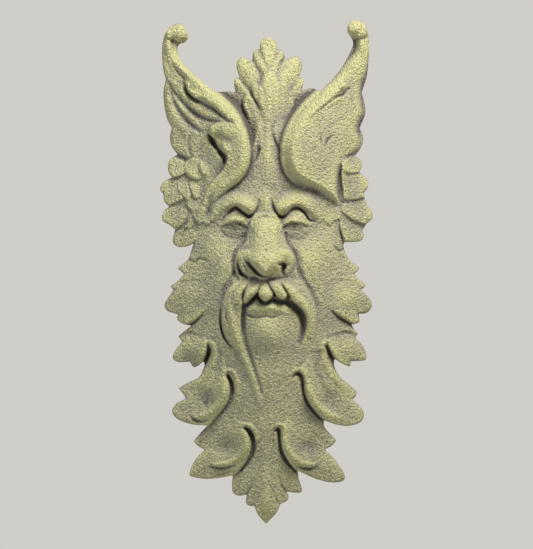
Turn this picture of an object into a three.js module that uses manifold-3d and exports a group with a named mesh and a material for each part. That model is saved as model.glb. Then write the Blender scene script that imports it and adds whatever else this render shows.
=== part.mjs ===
// A foliate wall mask cast in one piece: a horned, leaf-bearded face, carved in relief on a flat back.
// Millimetres, +Z up. The back lies in the plane y = 0 and the carving stands out toward -Y.
import * as THREE from "three";
import { mergeVertices } from "three/addons/utils/BufferGeometryUtils.js";
import Module from "manifold-3d";

const wasm = await Module();
wasm.setup();

// The carving is drawn on a sheet: u runs right and v runs down, in mm from the sheet's corner.
// The part's origin, the middle of the back, lies at this place on the sheet.
const originU = 267;
const originV = 272;

// Driving dimensions, mm
const maskLeft = 156;
const maskRight = 378;
const edgeThickness = 10;
const reliefLimit = 100;
const gridPitch = 2;
const gridCells = 256;
const facetTolerance = 1.7;
const longestSpan = 7;
const cutClearance = 5;

// The outline, clockwise from the root of the left horn. Each stretch is a curve that starts where the one
// before it ends, and two stretches meet in a corner.
const outline = {
  hornLeftOuter: [[163.4, 70], [162.2, 55], [162.6, 44], [165.5, 34], [171, 26.5], [179, 23.6], [185, 27], [188, 38]],
  hornLeftInner: [[184.5, 42], [179.5, 43.5], [177.2, 48], [179, 57], [186, 67], [200, 80], [215, 92.5]],
  plateLeft: [[226, 91.6], [235.8, 92.3]],
  crownToothLeft: [[234.3, 85], [234.8, 78.2]],
  crownToothLeftTop: [[239.8, 77]],
  crownLobeLeft: [[236.8, 68.5], [237, 61.5], [241, 57.9], [247, 58.7], [252.4, 61]],
  crownBudLeft: [[253, 53.5], [256, 50], [259.6, 49.3]],
  crownTop: [[261, 42], [268.2, 37], [275.2, 41.5], [277.4, 49.3]],
  crownBudRight: [[282, 50.5], [284, 54.5], [285.4, 59.8]],
  crownLobeRight: [[291, 57.5], [297.5, 57], [301.6, 63.5], [300.8, 71.5], [298.4, 77]],
  crownToothRightTop: [[303.6, 78.8]],
  crownToothRight: [[303.4, 83], [301.4, 91]],
  plateRight: [[311, 88.1], [320, 91.5]],
  hornRightInner: [[331, 81], [343, 65.5], [351, 50.5], [353.4, 43.5], [352, 38]],
  hornRightScroll: [[347.6, 31], [348.8, 23.8], [356, 19.8], [363, 22], [367.6, 32], [369.3, 46]],
  hornRightOuter: [[368.6, 60], [366.6, 77], [361.6, 92.8]],
  wingRightUpper: [[364.6, 103], [365.2, 114], [359.6, 128]],
  wingRightLower: [[363.2, 137], [361.5, 146.5], [354.2, 156.8]],
  sideRightFirst: [[359, 158.6], [361.8, 165], [359.2, 172.4]],
  sideRightSecond: [[366.3, 178.5], [368.4, 186], [363.4, 193.4]],
  sideRightThird: [[366.3, 203.5], [371.3, 211], [372.6, 218], [366.5, 223.8]],
  sideRightGap: [[362.4, 230]],
  sideRightFourth: [[363.6, 236], [359.5, 241.2], [344, 242.2]],
  cheekRight: [[343.4, 247], [347, 256.5], [352.5, 262.5], [359, 266.8]],
  cheekRightTooth: [[358, 270.5], [354, 273.8]],
  firstRightTooth: [[359, 279.3], [365.4, 283.4]],
  firstRightNotch: [[364.6, 287], [360.4, 289.4]],
  firstRightTip: [[369.5, 298.5], [371.8, 306.5], [366.5, 313], [358.6, 313.6]],
  firstRightLast: [[359.4, 321.5], [355, 323.8], [351.4, 324.4]],
  secondRightTooth: [[354.6, 330], [358, 333]],
  secondRightNotch: [[355, 338]],
  secondRightTip: [[362, 344.5], [366, 353], [365.6, 359.6], [357, 361.2], [351, 361]],
  secondRightSpur: [[350.2, 366.8]],
  secondRightLast: [[343, 364], [334.2, 358.8]],
  thirdRightUpper: [[334.4, 367], [341, 378], [350, 385.5], [356.8, 391.8]],
  thirdRightNotch: [[356, 396], [352.4, 399.8]],
  thirdRightTip: [[360, 407], [364.2, 414.5], [359.5, 422.8], [347, 426], [334, 423.8], [323.6, 420]],
  fourthRightUpper: [[325, 428], [336.4, 440.6]],
  fourthRightNotch: [[332, 445.6], [324.6, 449.6]],
  fourthRightTip: [[336, 461], [344.8, 476], [341.6, 481.6], [330, 482.4], [314, 478.3], [298, 470.6]],
  tailRightUpper: [[298.6, 479], [301.8, 488], [300.8, 492.6], [294, 492.8], [286, 491.6]],
  tailRightLower: [[288.6, 496.5], [286.8, 501], [280.4, 504]],
  tailTipRight: [[276, 513.5], [266, 524]],
  tailTipLeft: [[258, 515], [254, 505.4]],
  tailLeftLower: [[250.4, 506.3], [246, 503], [246.6, 494.4]],
  tailLeftUpper: [[240, 496], [233.6, 493.6], [232, 487], [232.8, 475.4]],
  fourthLeftTip: [[219, 478], [205, 479], [192, 476.8], [189.4, 473.4], [195, 460], [204.6, 449.6]],
  fourthLeftNotch: [[198, 446], [193.6, 441.2]],
  fourthLeftUpper: [[201, 432.6], [207.6, 425.4]],
  thirdLeftTip: [[193, 424.4], [179, 420], [172.2, 412.5], [175.6, 404], [186, 398.6]],
  thirdLeftNotch: [[182.4, 393], [178.6, 388]],
  thirdLeftUpper: [[189, 382.4], [199, 377], [204.6, 366]],
  secondLeftLast: [[203.6, 361.6], [198, 365.8], [193.4, 367], [189.8, 361.6]],
  secondLeftTip: [[179, 362.2], [172.8, 358.6], [175, 351], [182, 341.6]],
  secondLeftNotch: [[178.2, 336.4]],
  secondLeftUpper: [[184.5, 331], [191.6, 325.6]],
  firstLeftLast: [[183, 323.8], [177.4, 319.6], [178, 314.4]],
  firstLeftTip: [[167.5, 311], [164.4, 305.5], [167.5, 298.5], [173.4, 290]],
  firstLeftNotch: [[170.4, 286.2]],
  firstLeftTooth: [[177.5, 281], [184.2, 274.2]],
  cheekLeftTooth: [[177.6, 268]],
  cheekLeft: [[187.5, 260], [191, 252], [193.6, 243]],
  sideLeftFourth: [[187, 246.3], [177.5, 246.8], [172.6, 241], [175.2, 229.6]],
  sideLeftThird: [[170, 225.3], [162.4, 220.3], [163.6, 212], [169, 206.6]],
  sideLeftGap: [[164.3, 201.5], [163.5, 194.5]],
  sideLeftSecond: [[160, 188.5], [164.5, 181], [171.8, 177.8]],
  sideLeftFirst: [[168.2, 170.5], [169.5, 160.5], [177.6, 154.4]],
  wingLeftLower: [[171.5, 146], [170, 137], [171.8, 128]],
  wingLeftUpper: [[167.2, 119], [164.2, 105], [163.6, 91], [166, 79.5]],
};

// Heights above the back of the large forms, as [u, v, height], in bands from the top down
const bodyHeights = [
  [225, 94, 13], [311, 92, 12], [240, 112, 17], [300, 112, 15], [268, 95, 22],
  [250, 125, 24], [288, 125, 24], [268, 135, 30], [252, 155, 31], [283, 155, 31], [268, 160, 36], [268, 185, 43],
  [245, 185, 41], [225, 196, 38], [208, 211, 32], [197, 228, 25], [290, 185, 41], [310, 196, 38], [327, 209, 32],
  [340, 226, 25], [268, 212, 47], [235, 230, 38], [299, 230, 38], [218, 228, 35], [316, 228, 35],
  [228, 250, 43], [306, 250, 43], [208, 250, 34], [328, 250, 34], [193, 250, 22], [342, 248, 22],
  [205, 275, 33], [330, 275, 33], [225, 280, 45], [310, 280, 45], [180, 270, 15], [357, 270, 15],
  [169, 300, 12], [369, 303, 12], [188, 295, 25], [350, 298, 25], [205, 308, 32], [330, 308, 32],
  [222, 312, 40], [315, 312, 40], [182, 321, 13], [356, 320, 13], [268, 285, 58], [268, 312, 57],
  [245, 300, 52], [290, 300, 52], [268, 330, 57], [246, 332, 48], [290, 332, 48], [268, 352, 51],
  [240, 352, 42], [297, 352, 42], [222, 350, 36], [314, 348, 36], [204, 333, 28], [332, 333, 28],
  [188, 345, 20], [349, 345, 20], [175, 357, 11], [364, 357, 11], [193, 364, 13], [350, 364, 13],
  [268, 376, 46], [245, 382, 38], [291, 382, 38], [224, 383, 32], [310, 383, 32], [205, 386, 25], [330, 386, 25],
  [182, 388, 12], [354, 392, 12], [174, 412, 12], [362, 414, 12], [198, 405, 18], [335, 408, 18],
  [195, 422, 13], [340, 423, 13], [268, 402, 40], [245, 408, 33], [291, 408, 33], [222, 412, 24], [314, 412, 24],
  [268, 430, 33], [240, 436, 27], [296, 436, 27], [215, 440, 18], [318, 442, 18], [196, 441, 11], [334, 441, 11],
  [268, 455, 27], [238, 462, 18], [300, 462, 18], [205, 462, 14], [328, 465, 14], [192, 474, 11], [342, 479, 11],
  [215, 477, 11], [310, 475, 11], [266, 480, 21], [238, 488, 12], [295, 486, 12], [250, 498, 12],
  [283, 498, 12], [266, 502, 17], [266, 522, 9],
];

// The relief grid: heights on a square of nodes, worked out only across the mask's width
const nodes = gridCells + 1;
const gridLeft = originU - (gridCells * gridPitch) / 2;
const gridTop = originV - (gridCells * gridPitch) / 2;
const relief = new Float64Array(nodes * nodes).fill(edgeThickness);
const firstColumn = Math.ceil((maskLeft - gridLeft) / gridPitch);
const lastColumn = Math.floor((maskRight - gridLeft) / gridPitch);

// Calls act(index, u, v) for the grid nodes inside a box on the sheet.
function overBox(left, top, right, bottom, act) {
  const columnStart = Math.max(firstColumn, Math.ceil((left - gridLeft) / gridPitch));
  const columnEnd = Math.min(lastColumn, Math.floor((right - gridLeft) / gridPitch));
  const rowStart = Math.max(0, Math.ceil((top - gridTop) / gridPitch));
  const rowEnd = Math.min(gridCells, Math.floor((bottom - gridTop) / gridPitch));
  for (let row = rowStart; row <= rowEnd; row += 1) {
    for (let column = columnStart; column <= columnEnd; column += 1) {
      act(row * nodes + column, gridLeft + column * gridPitch, gridTop + row * gridPitch);
    }
  }
}

// A smooth curve through rows of numbers, with a fixed number of steps between two rows.
function curveThrough(rows, steps) {
  const curve = [];
  const last = rows.length - 1;
  const rowAt = (i) => rows[Math.min(Math.max(i, 0), last)];
  for (let span = 0; span < last; span += 1) {
    for (let part = 0; part < steps; part += 1) {
      const t = part / steps;
      curve.push(rows[0].map((_, k) => {
        const b = rowAt(span)[k];
        const c = rowAt(span + 1)[k];
        const a = span === 0 ? 2 * b - c : rowAt(span - 1)[k];
        const d = span + 2 > last ? 2 * c - b : rowAt(span + 2)[k];
        return 0.5 * (2 * b + (c - a) * t + (2 * a - 5 * b + 4 * c - d) * t * t
          + (3 * b - a - 3 * c + d) * t * t * t);
      }));
    }
  }
  curve.push(rows[last]);
  return curve;
}

// A closed line from stretches that each start where the one before ends.
function closedLine(stretches, spanLimit) {
  const line = [];
  let start = stretches.at(-1).at(-1);
  for (const stretch of stretches) {
    const rows = [start, ...stretch];
    const longest = Math.max(...rows.slice(1).map((p, i) => Math.hypot(p[0] - rows[i][0], p[1] - rows[i][1])));
    const steps = rows.length === 2 ? 1 : Math.ceil(longest / spanLimit);
    line.push(...curveThrough(rows, steps).slice(0, -1));
    start = stretch.at(-1);
  }
  return line;
}

// Distance from a place to a closed line, positive inside it.
function depthInside(line, u, v) {
  let nearest = Infinity;
  let inside = false;
  for (let i = 0, j = line.length - 1; i < line.length; j = i, i += 1) {
    const [au, av] = line[j];
    const [bu, bv] = line[i];
    const du = bu - au;
    const dv = bv - av;
    const lengthSquared = du * du + dv * dv;
    const t = lengthSquared > 0 ? Math.min(Math.max(((u - au) * du + (v - av) * dv) / lengthSquared, 0), 1) : 0;
    nearest = Math.min(nearest, Math.hypot(u - au - t * du, v - av - t * dv));
    if (av > v !== bv > v && u < (du * (v - av)) / dv + au) {
      inside = !inside;
    }
  }
  return inside ? nearest : -nearest;
}

// A smooth surface through marks [u, v, height], as a function of u and v (a thin bent plate).
function plateThrough(marks) {
  const scale = 60;
  const count = marks.length;
  const size = count + 3;
  const bend = (du, dv) => {
    const squared = (du * du + dv * dv) / (scale * scale);
    return squared > 0 ? 0.5 * squared * Math.log(squared) : 0;
  };
  const rows = marks.map(([u, v, height]) => [
    ...marks.map(([otherU, otherV]) => bend(u - otherU, v - otherV)),
    1,
    u / scale,
    v / scale,
    height,
  ]);
  rows.push([...marks.map(() => 1), 0, 0, 0, 0]);
  rows.push([...marks.map(([u]) => u / scale), 0, 0, 0, 0]);
  rows.push([...marks.map(([, v]) => v / scale), 0, 0, 0, 0]);
  for (let i = 0; i < size; i += 1) {
    let pivot = i;
    for (let k = i + 1; k < size; k += 1) {
      if (Math.abs(rows[k][i]) > Math.abs(rows[pivot][i])) {
        pivot = k;
      }
    }
    [rows[i], rows[pivot]] = [rows[pivot], rows[i]];
    for (let k = i + 1; k < size; k += 1) {
      const factor = rows[k][i] / rows[i][i];
      for (let m = i; m <= size; m += 1) {
        rows[k][m] -= factor * rows[i][m];
      }
    }
  }
  const weights = new Array(size).fill(0);
  for (let i = size - 1; i >= 0; i -= 1) {
    let sum = rows[i][size];
    for (let k = i + 1; k < size; k += 1) {
      sum -= rows[i][k] * weights[k];
    }
    weights[i] = sum / rows[i][i];
  }
  return (u, v) => {
    let height = weights[count] + (weights[count + 1] * u) / scale + (weights[count + 2] * v) / scale;
    for (let i = 0; i < count; i += 1) {
      height += weights[i] * bend(u - marks[i][0], v - marks[i][1]);
    }
    return height;
  };
}

// The larger of two heights, rounded where they meet within blend.
function rounded(a, b, blend) {
  const near = Math.max(blend - Math.abs(a - b), 0) / blend;
  return Math.max(a, b) + (near * near * blend) / 4;
}

function boxAround(rows, margin) {
  const us = rows.map((row) => row[0]);
  const vs = rows.map((row) => row[1]);
  return [Math.min(...us) - margin, Math.min(...vs) - margin, Math.max(...us) + margin, Math.max(...vs) + margin];
}

// Calls act(index, away, halfWidth, value) near a stroke, whose rows are [u, v, halfWidth, value];
// away is the distance from its middle line over the half width there.
function alongStroke(rows, margin, act) {
  const line = curveThrough(rows, 6);
  const widest = Math.max(...rows.map((row) => row[2]));
  overBox(...boxAround(rows, widest + margin), (index, u, v) => {
    let away = Infinity;
    let halfWidth = 1;
    let value = 0;
    for (let i = 0; i + 1 < line.length; i += 1) {
      const [au, av, aw, ah] = line[i];
      const [bu, bv, bw, bh] = line[i + 1];
      const du = bu - au;
      const dv = bv - av;
      const t = Math.min(Math.max(((u - au) * du + (v - av) * dv) / (du * du + dv * dv), 0), 1);
      const width = aw + t * (bw - aw);
      const ratio = Math.hypot(u - au - t * du, v - av - t * dv) / width;
      if (ratio < away) {
        away = ratio;
        halfWidth = width;
        value = ah + t * (bh - ah);
      }
    }
    act(index, away, halfWidth, value);
  });
}

// A rounded body laid along a stroke of [u, v, halfWidth, height]: it falls by crown to its edges, and
// beyond them by fall for each mm.
function body(rows, crown, blend, fall) {
  alongStroke(rows, 8, (index, away, halfWidth, top) => {
    const across = Math.min(away, 1);
    const round = crown * (1 - Math.sqrt(1 - across * across));
    const height = top - round - fall * Math.max(away - 1, 0) * halfWidth;
    relief[index] = rounded(relief[index], height, blend);
  });
}

// A soft bead along a stroke of [u, v, halfWidth, amount], or a groove where the amount is negative.
function bead(rows) {
  alongStroke(rows, 1, (index, away, halfWidth, amount) => {
    const t = Math.max(1 - away, 0);
    relief[index] += amount * t * t * (3 - 2 * t);
  });
}

// A soft oval swelling, or a hollow where the amount is negative.
function swell(middleU, middleV, reachU, reachV, amount, turnDegrees = 0) {
  const turn = THREE.MathUtils.degToRad(turnDegrees);
  const reach = 3 * Math.max(reachU, reachV);
  overBox(middleU - reach, middleV - reach, middleU + reach, middleV + reach, (index, u, v) => {
    const a = ((u - middleU) * Math.cos(turn) + (v - middleV) * Math.sin(turn)) / reachU;
    const b = ((v - middleV) * Math.cos(turn) - (u - middleU) * Math.sin(turn)) / reachV;
    relief[index] += amount * Math.exp(-(a * a + b * b));
  });
}

// Raises what lies inside an outline by the amounts at its marks, with a rounded step at its edge.
function lift(stretches, marks, edgeRound) {
  const line = closedLine(stretches, 4);
  const amountAt = plateThrough(marks);
  overBox(...boxAround(line, 1), (index, u, v) => {
    const depth = depthInside(line, u, v);
    if (depth > 0) {
      const away = 1 - Math.min(depth / edgeRound, 1);
      relief[index] += Math.max(amountAt(u, v), 0) * Math.sqrt(1 - away * away);
    }
  });
}

// Lays a sheet with its own heights over what is there.
function sheet(stretches, marks, blend, fall) {
  const line = closedLine(stretches, 4);
  const heightAt = plateThrough(marks);
  overBox(...boxAround(line, 6), (index, u, v) => {
    const depth = depthInside(line, u, v);
    if (depth > -6) {
      relief[index] = rounded(relief[index], heightAt(u, v) + fall * Math.min(depth, 0), blend);
    }
  });
}

function carveWings() {
  sheet(
    [[[188, 160], [205, 168], [222, 172], [240, 150], [232, 120], [215, 93], [190, 70], [176, 55], [178, 40],
      [170, 20], [160, 45], [161, 60], [166, 79.5]],
    [[162, 91], [163, 105], [166, 119], [170, 128], [168, 137], [170, 146], [177.6, 155]]],
    [[164, 60, 20], [164, 90, 16], [167, 115, 15], [172, 142, 15], [180, 153, 19], [180, 100, 23], [195, 130, 27],
      [198, 108, 29], [212, 125, 33], [184, 84, 27], [200, 155, 29], [214, 152, 32], [170, 45, 24], [222, 110, 38],
      [235, 145, 42]],
    2, 3,
  );
  sheet(
    [[[343, 168], [338, 185], [340, 205], [325, 200], [300, 180], [292, 150], [300, 115], [330, 85], [350, 60],
      [354, 40], [362, 15], [372, 40], [370, 60], [366.6, 77], [361.6, 92.8]],
    [[365.5, 103], [366, 114], [360, 128], [364, 137], [362, 147], [354.2, 157]]],
    [[368, 60, 20], [363, 92, 17], [365, 112, 15], [361, 128, 16], [361, 142, 16], [352, 158, 21], [350, 110, 24],
      [340, 130, 31], [322, 112, 41], [345, 85, 27], [335, 150, 35], [320, 135, 42], [308, 130, 49],
      [306, 155, 51], [318, 170, 45], [330, 190, 38], [345, 195, 29], [356, 50, 24], [335, 170, 36],
      [300, 150, 54]],
    2, 3,
  );
}

function carveSideLeaves() {
  sheet(
    [[[186, 247], [170, 246], [160, 220], [158, 190], [166, 160], [180, 154], [200, 156], [222, 168], [222, 180],
      [206, 195], [200, 215], [194, 245]]],
    [[176, 242, 12], [188, 242, 14], [163, 217, 13], [175, 229, 14], [162, 189, 14], [168, 165, 15],
      [178, 156, 17], [195, 165, 27], [212, 172, 35], [203, 190, 32], [196, 210, 28], [194, 228, 23],
      [182, 205, 21], [183, 185, 22]],
    2, 3,
  );
  sheet(
    [[[360, 244], [366, 230], [376, 217], [368, 200], [372, 186], [362, 160], [354, 156], [338, 160], [326, 175],
      [334, 200], [339, 220], [343, 243]]],
    [[360, 238, 12], [345, 240, 14], [371, 216, 13], [362, 229, 14], [366, 186, 14], [361, 165, 15],
      [355, 158, 17], [342, 165, 30], [334, 190, 35], [341, 205, 29], [341, 220, 25], [352, 205, 22],
      [352, 182, 24]],
    2, 3,
  );
  lift(
    [[[167, 170], [168, 160], [177, 153.5], [190, 156], [196, 166], [190, 176]], [[181, 176.5], [172, 178]]],
    [[170, 165, 4], [178, 156, 5], [176, 175, 4], [190, 165, 5]],
    2.5,
  );
  lift(
    [[[163, 199], [159, 189], [163, 181], [172, 177], [184, 180], [188, 190], [188, 204], [180, 205],
      [169.5, 206.6]]],
    [[163, 189, 4], [170, 180, 4], [169, 200, 4], [186, 200, 5]],
    2.5,
  );
  lift(
    [[[160, 221], [161, 211], [169, 206.6], [184, 205], [195, 212]], [[187, 221], [175.5, 229.6]], [[172, 229]]],
    [[164, 217, 4], [172, 210, 4], [178, 224, 5], [192, 212, 4]],
    2.5,
  );
  lift(
    [[[186, 221], [196, 218], [204, 222], [203, 236], [193.6, 243], [186, 248], [175, 248], [170, 241],
      [175, 229.6]]],
    [[176, 242, 2], [190, 242, 3], [178, 230, 2], [198, 225, 2]],
    3,
  );
  lift(
    [[[178, 190], [181, 182], [188, 178], [196, 181], [201, 192], [199, 201], [196, 207], [188, 206],
      [181, 199]]],
    [[182, 190, 4], [190, 182, 4], [190, 204, 4], [198, 195, 2]],
    2.5,
  );
  lift(
    [[[190, 152], [199, 154], [208, 160], [210, 170], [205, 178], [196, 180], [188, 174], [186, 160]]],
    [[189, 165, 4], [200, 156, 2], [197, 178, 4], [208, 170, 1]],
    2.5,
  );
  lift(
    [[[364, 165], [360, 157], [352, 156], [340, 158], [334, 166]], [[345, 172], [359.2, 172.4]]],
    [[360, 165, 4], [352, 158, 3], [350, 172, 4], [338, 166, 1]],
    2.5,
  );
  lift(
    [[[371, 187], [368, 177], [359, 172], [346, 174], [338, 182], [340, 194], [350, 200], [363.4, 193.4]]],
    [[366, 186, 4], [360, 176, 2], [360, 194, 5], [342, 190, 1]],
    2.5,
  );
  lift(
    [[[376, 218], [373, 208], [366, 202], [355, 203], [343, 207]], [[350, 216], [358, 221.5], [366.5, 223.8]]],
    [[370, 216, 4], [365, 206, 2], [360, 221, 5], [345, 208, 1]],
    2.5,
  );
  lift(
    [[[352, 243], [362, 243], [366, 236], [362.4, 230], [352, 222], [341, 215], [336, 228], [344, 242.2]]],
    [[360, 238, 3], [345, 240, 4], [360, 230, 2], [341, 222, 1]],
    3,
  );
}

function carveCrown() {
  sheet(
    [[[233, 85], [234, 78], [234, 66], [240, 55], [253, 50], [259, 40], [268.2, 34], [278, 40], [285, 50],
      [299, 54], [305, 66], [305, 83], [301.4, 91]],
    [[297, 105], [290, 118], [284, 135], [275, 150], [262, 150], [252, 135], [247, 115], [240, 104],
      [235.8, 92.3]]],
    [[268, 42, 18], [242, 65, 16], [296, 65, 16], [256, 54, 17], [281, 54, 17], [268, 62, 25], [268, 85, 33],
      [238, 88, 18], [299, 88, 18], [252, 75, 24], [284, 75, 24], [268, 112, 35], [247, 100, 24], [291, 102, 24],
      [256, 125, 31], [284, 122, 30], [268, 148, 33]],
    3, 3,
  );
  bead([[268, 44, 10, 4], [268, 58, 9, 5], [268, 70, 8, 4]]);
  bead([[243, 66, 8, 4], [250, 74, 8, 4], [257, 84, 7, 3]]);
  bead([[295, 66, 8, 4], [287, 74, 8, 4], [280, 84, 7, 3]]);
  bead([[269, 78, 9, 5], [270, 92, 13, 8], [271, 106, 10, 6], [271, 122, 6, 3]]);
  bead([[248, 100, 7, 6], [252, 112, 8, 6], [258, 126, 6, 3]]);
  bead([[256, 89, 5, 5], [260, 99, 6, 5], [264, 110, 5, 3]]);
  bead([[291, 103, 7, 6], [286, 113, 8, 5], [280, 126, 6, 3]]);
  bead([[249, 122, 5, -3], [254, 131, 6, -5], [253, 144, 5.5, -5], [249, 154, 4, -3]]);
}

function carveHorns() {
  body(
    [[169.5, 34, 7.5, 24], [168.5, 45, 7.5, 24], [171.5, 57, 7.5, 25], [180, 70, 8, 28], [193.5, 84, 9, 33],
      [208, 98, 10.5, 40], [222, 112, 11.5, 47], [233, 129, 12.5, 52], [237, 147, 13, 55], [235, 164, 13.5, 54],
      [226, 179, 13.5, 50], [214, 192, 12, 45], [206, 205, 10, 38], [201, 219, 7, 31]],
    10, 6, 2,
  );
  body([[172, 31, 7, 25], [179, 32.5, 8, 28]], 5, 1.5, 3);
  body(
    [[363, 33, 6, 25], [361, 46, 8, 24], [355, 59, 8, 26], [344, 73, 8.5, 30], [331, 86, 9, 36], [318, 100, 10, 43],
      [307, 116, 10.5, 50], [301, 133, 10.5, 55], [299, 150, 10.5, 57], [303, 166, 10.5, 55], [312, 178, 10, 50],
      [323, 189, 9.5, 45], [333, 200, 8, 38], [340, 214, 6, 31]],
    10, 6, 2.5,
  );
  body([[362, 27, 6.5, 25], [355, 29, 7.5, 28]], 5, 1.5, 3);
}

// The curled lobe and finger of the left wing's leaf, with the dark hollow behind, and both rolled edges
function carveWingCurls() {
  body([[216, 131, 5.5, 45], [226, 128, 7, 48], [236, 134, 8, 52]], 5, 2, 3);
  body([[221, 143, 3.6, 45], [226, 148, 4.5, 48], [230, 158, 6, 50]], 4, 2, 3);
  bead([[212, 139, 6, -8], [216, 143, 5, -12], [220, 151, 4.5, -10], [224, 158, 3, -6]]);
  bead([[187, 85, 3, -4], [191, 94, 4, -7], [200, 100, 3.5, -6], [213, 108, 3, -6], [226, 119, 2.5, -4]]);
  bead([[190, 84, 6, 2.5], [200, 93, 7, 2.5], [213, 103, 7, 2.5], [226, 113, 5, 2]]);
  bead([[343, 88, 7, 5], [336, 94, 8, 5], [325, 102, 8, 4], [314, 111, 7, 3]]);
}

function carveFace() {
  // Brows, with the frown lines under them
  bead([[213, 224, 8, 3], [219, 212, 12, 8], [231, 205, 13, 11], [244, 207, 12, 12], [253, 210, 8, 6]]);
  bead([[320, 222, 8, 3], [313, 210, 12, 8], [301, 204, 13, 11], [288, 207, 12, 12], [280, 211, 8, 6]]);
  bead([[258, 203, 3.5, -3], [255, 211, 4.5, -6], [249, 217, 4.5, -6], [242, 213, 3.5, -5], [230, 213, 4, -3]]);
  bead([[271, 200, 3.5, -3], [273, 208, 4.5, -6], [278, 216, 5, -7], [285, 218, 4.5, -5]]);
  bead([[287, 212, 3.5, -3], [294, 209, 3.5, -5], [301, 211, 4, -5], [307, 218, 4, -4], [313, 223, 3, -2]]);
  // Eyes
  swell(236, 222, 13, 9, 7);
  swell(299, 222, 13, 9, 7);
  // Nose: bridge and back, tip, wings, and the folds beside them
  body([[266, 212, 8, 49], [266, 222, 11, 55], [266, 236, 14, 63], [266, 250, 17, 71], [266, 260, 18, 75]], 22, 8, 1.5);
  body([[266, 259, 13, 77], [266, 264, 12, 77]], 16, 4, 4);
  body([[247, 256, 10, 65], [246, 263, 10, 64]], 12, 4, 4);
  body([[286, 256, 10, 65], [287, 262, 10, 64]], 12, 4, 4);
  bead([[248, 261, 3.5, -9], [254, 270, 3.5, -8]]);
  bead([[284, 264, 4, -8], [281, 268, 3, -5]]);
  bead([[238, 249, 4, -3], [234, 260, 4.5, -4], [238, 273, 4, -4]]);
  bead([[293, 250, 4, -2], [298, 262, 4.5, -3], [302, 276, 5, -4]]);
  // Moustache: the two long locks, the middle locks, and the open mouth under them
  body(
    [[262, 284, 7, 67], [248, 287, 9, 65], [236, 295, 9, 59], [231, 308, 8, 54], [231, 322, 7.5, 49],
      [236, 337, 7, 47], [242, 350, 6, 44], [251, 368, 5, 43], [257, 390, 4, 41]],
    9, 3, 2.5,
  );
  body(
    [[275, 283, 8, 67], [288, 288, 10, 64], [300, 296, 10, 58], [309, 307, 9, 51], [313, 319, 8, 46],
      [312, 332, 7, 41]],
    9, 5, 2,
  );
  body([[266, 283, 5, 68], [266, 293, 6.5, 70]], 5, 1.5, 4);
  body([[278, 284, 5, 69], [285, 295, 5, 67]], 4, 1.5, 4);
  bead([[246, 302, 4.5, -6], [257, 294, 4, -9], [265, 301, 3, -6]]);
  bead([[271, 297, 3, -6], [278, 301, 4, -8], [291, 304, 4.5, -9], [302, 313, 5, -10], [305, 326, 5, -9],
    [300, 342, 4.5, -5]]);
  bead([[224, 300, 3.5, -4], [221, 318, 4, -7], [226, 333, 3.5, -6], [233, 344, 3, -3]]);
  // Lower lip and chin
  bead([[248, 309, 5, 3], [258, 307, 7, 6], [266, 306, 7.5, 7], [275, 307, 7, 6], [284, 309, 5, 3]]);
  bead([[248, 316, 3, -2], [262, 317.5, 3.5, -3.5], [277, 317, 3, -2]]);
  swell(268, 332, 20, 16, 6);
}

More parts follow.
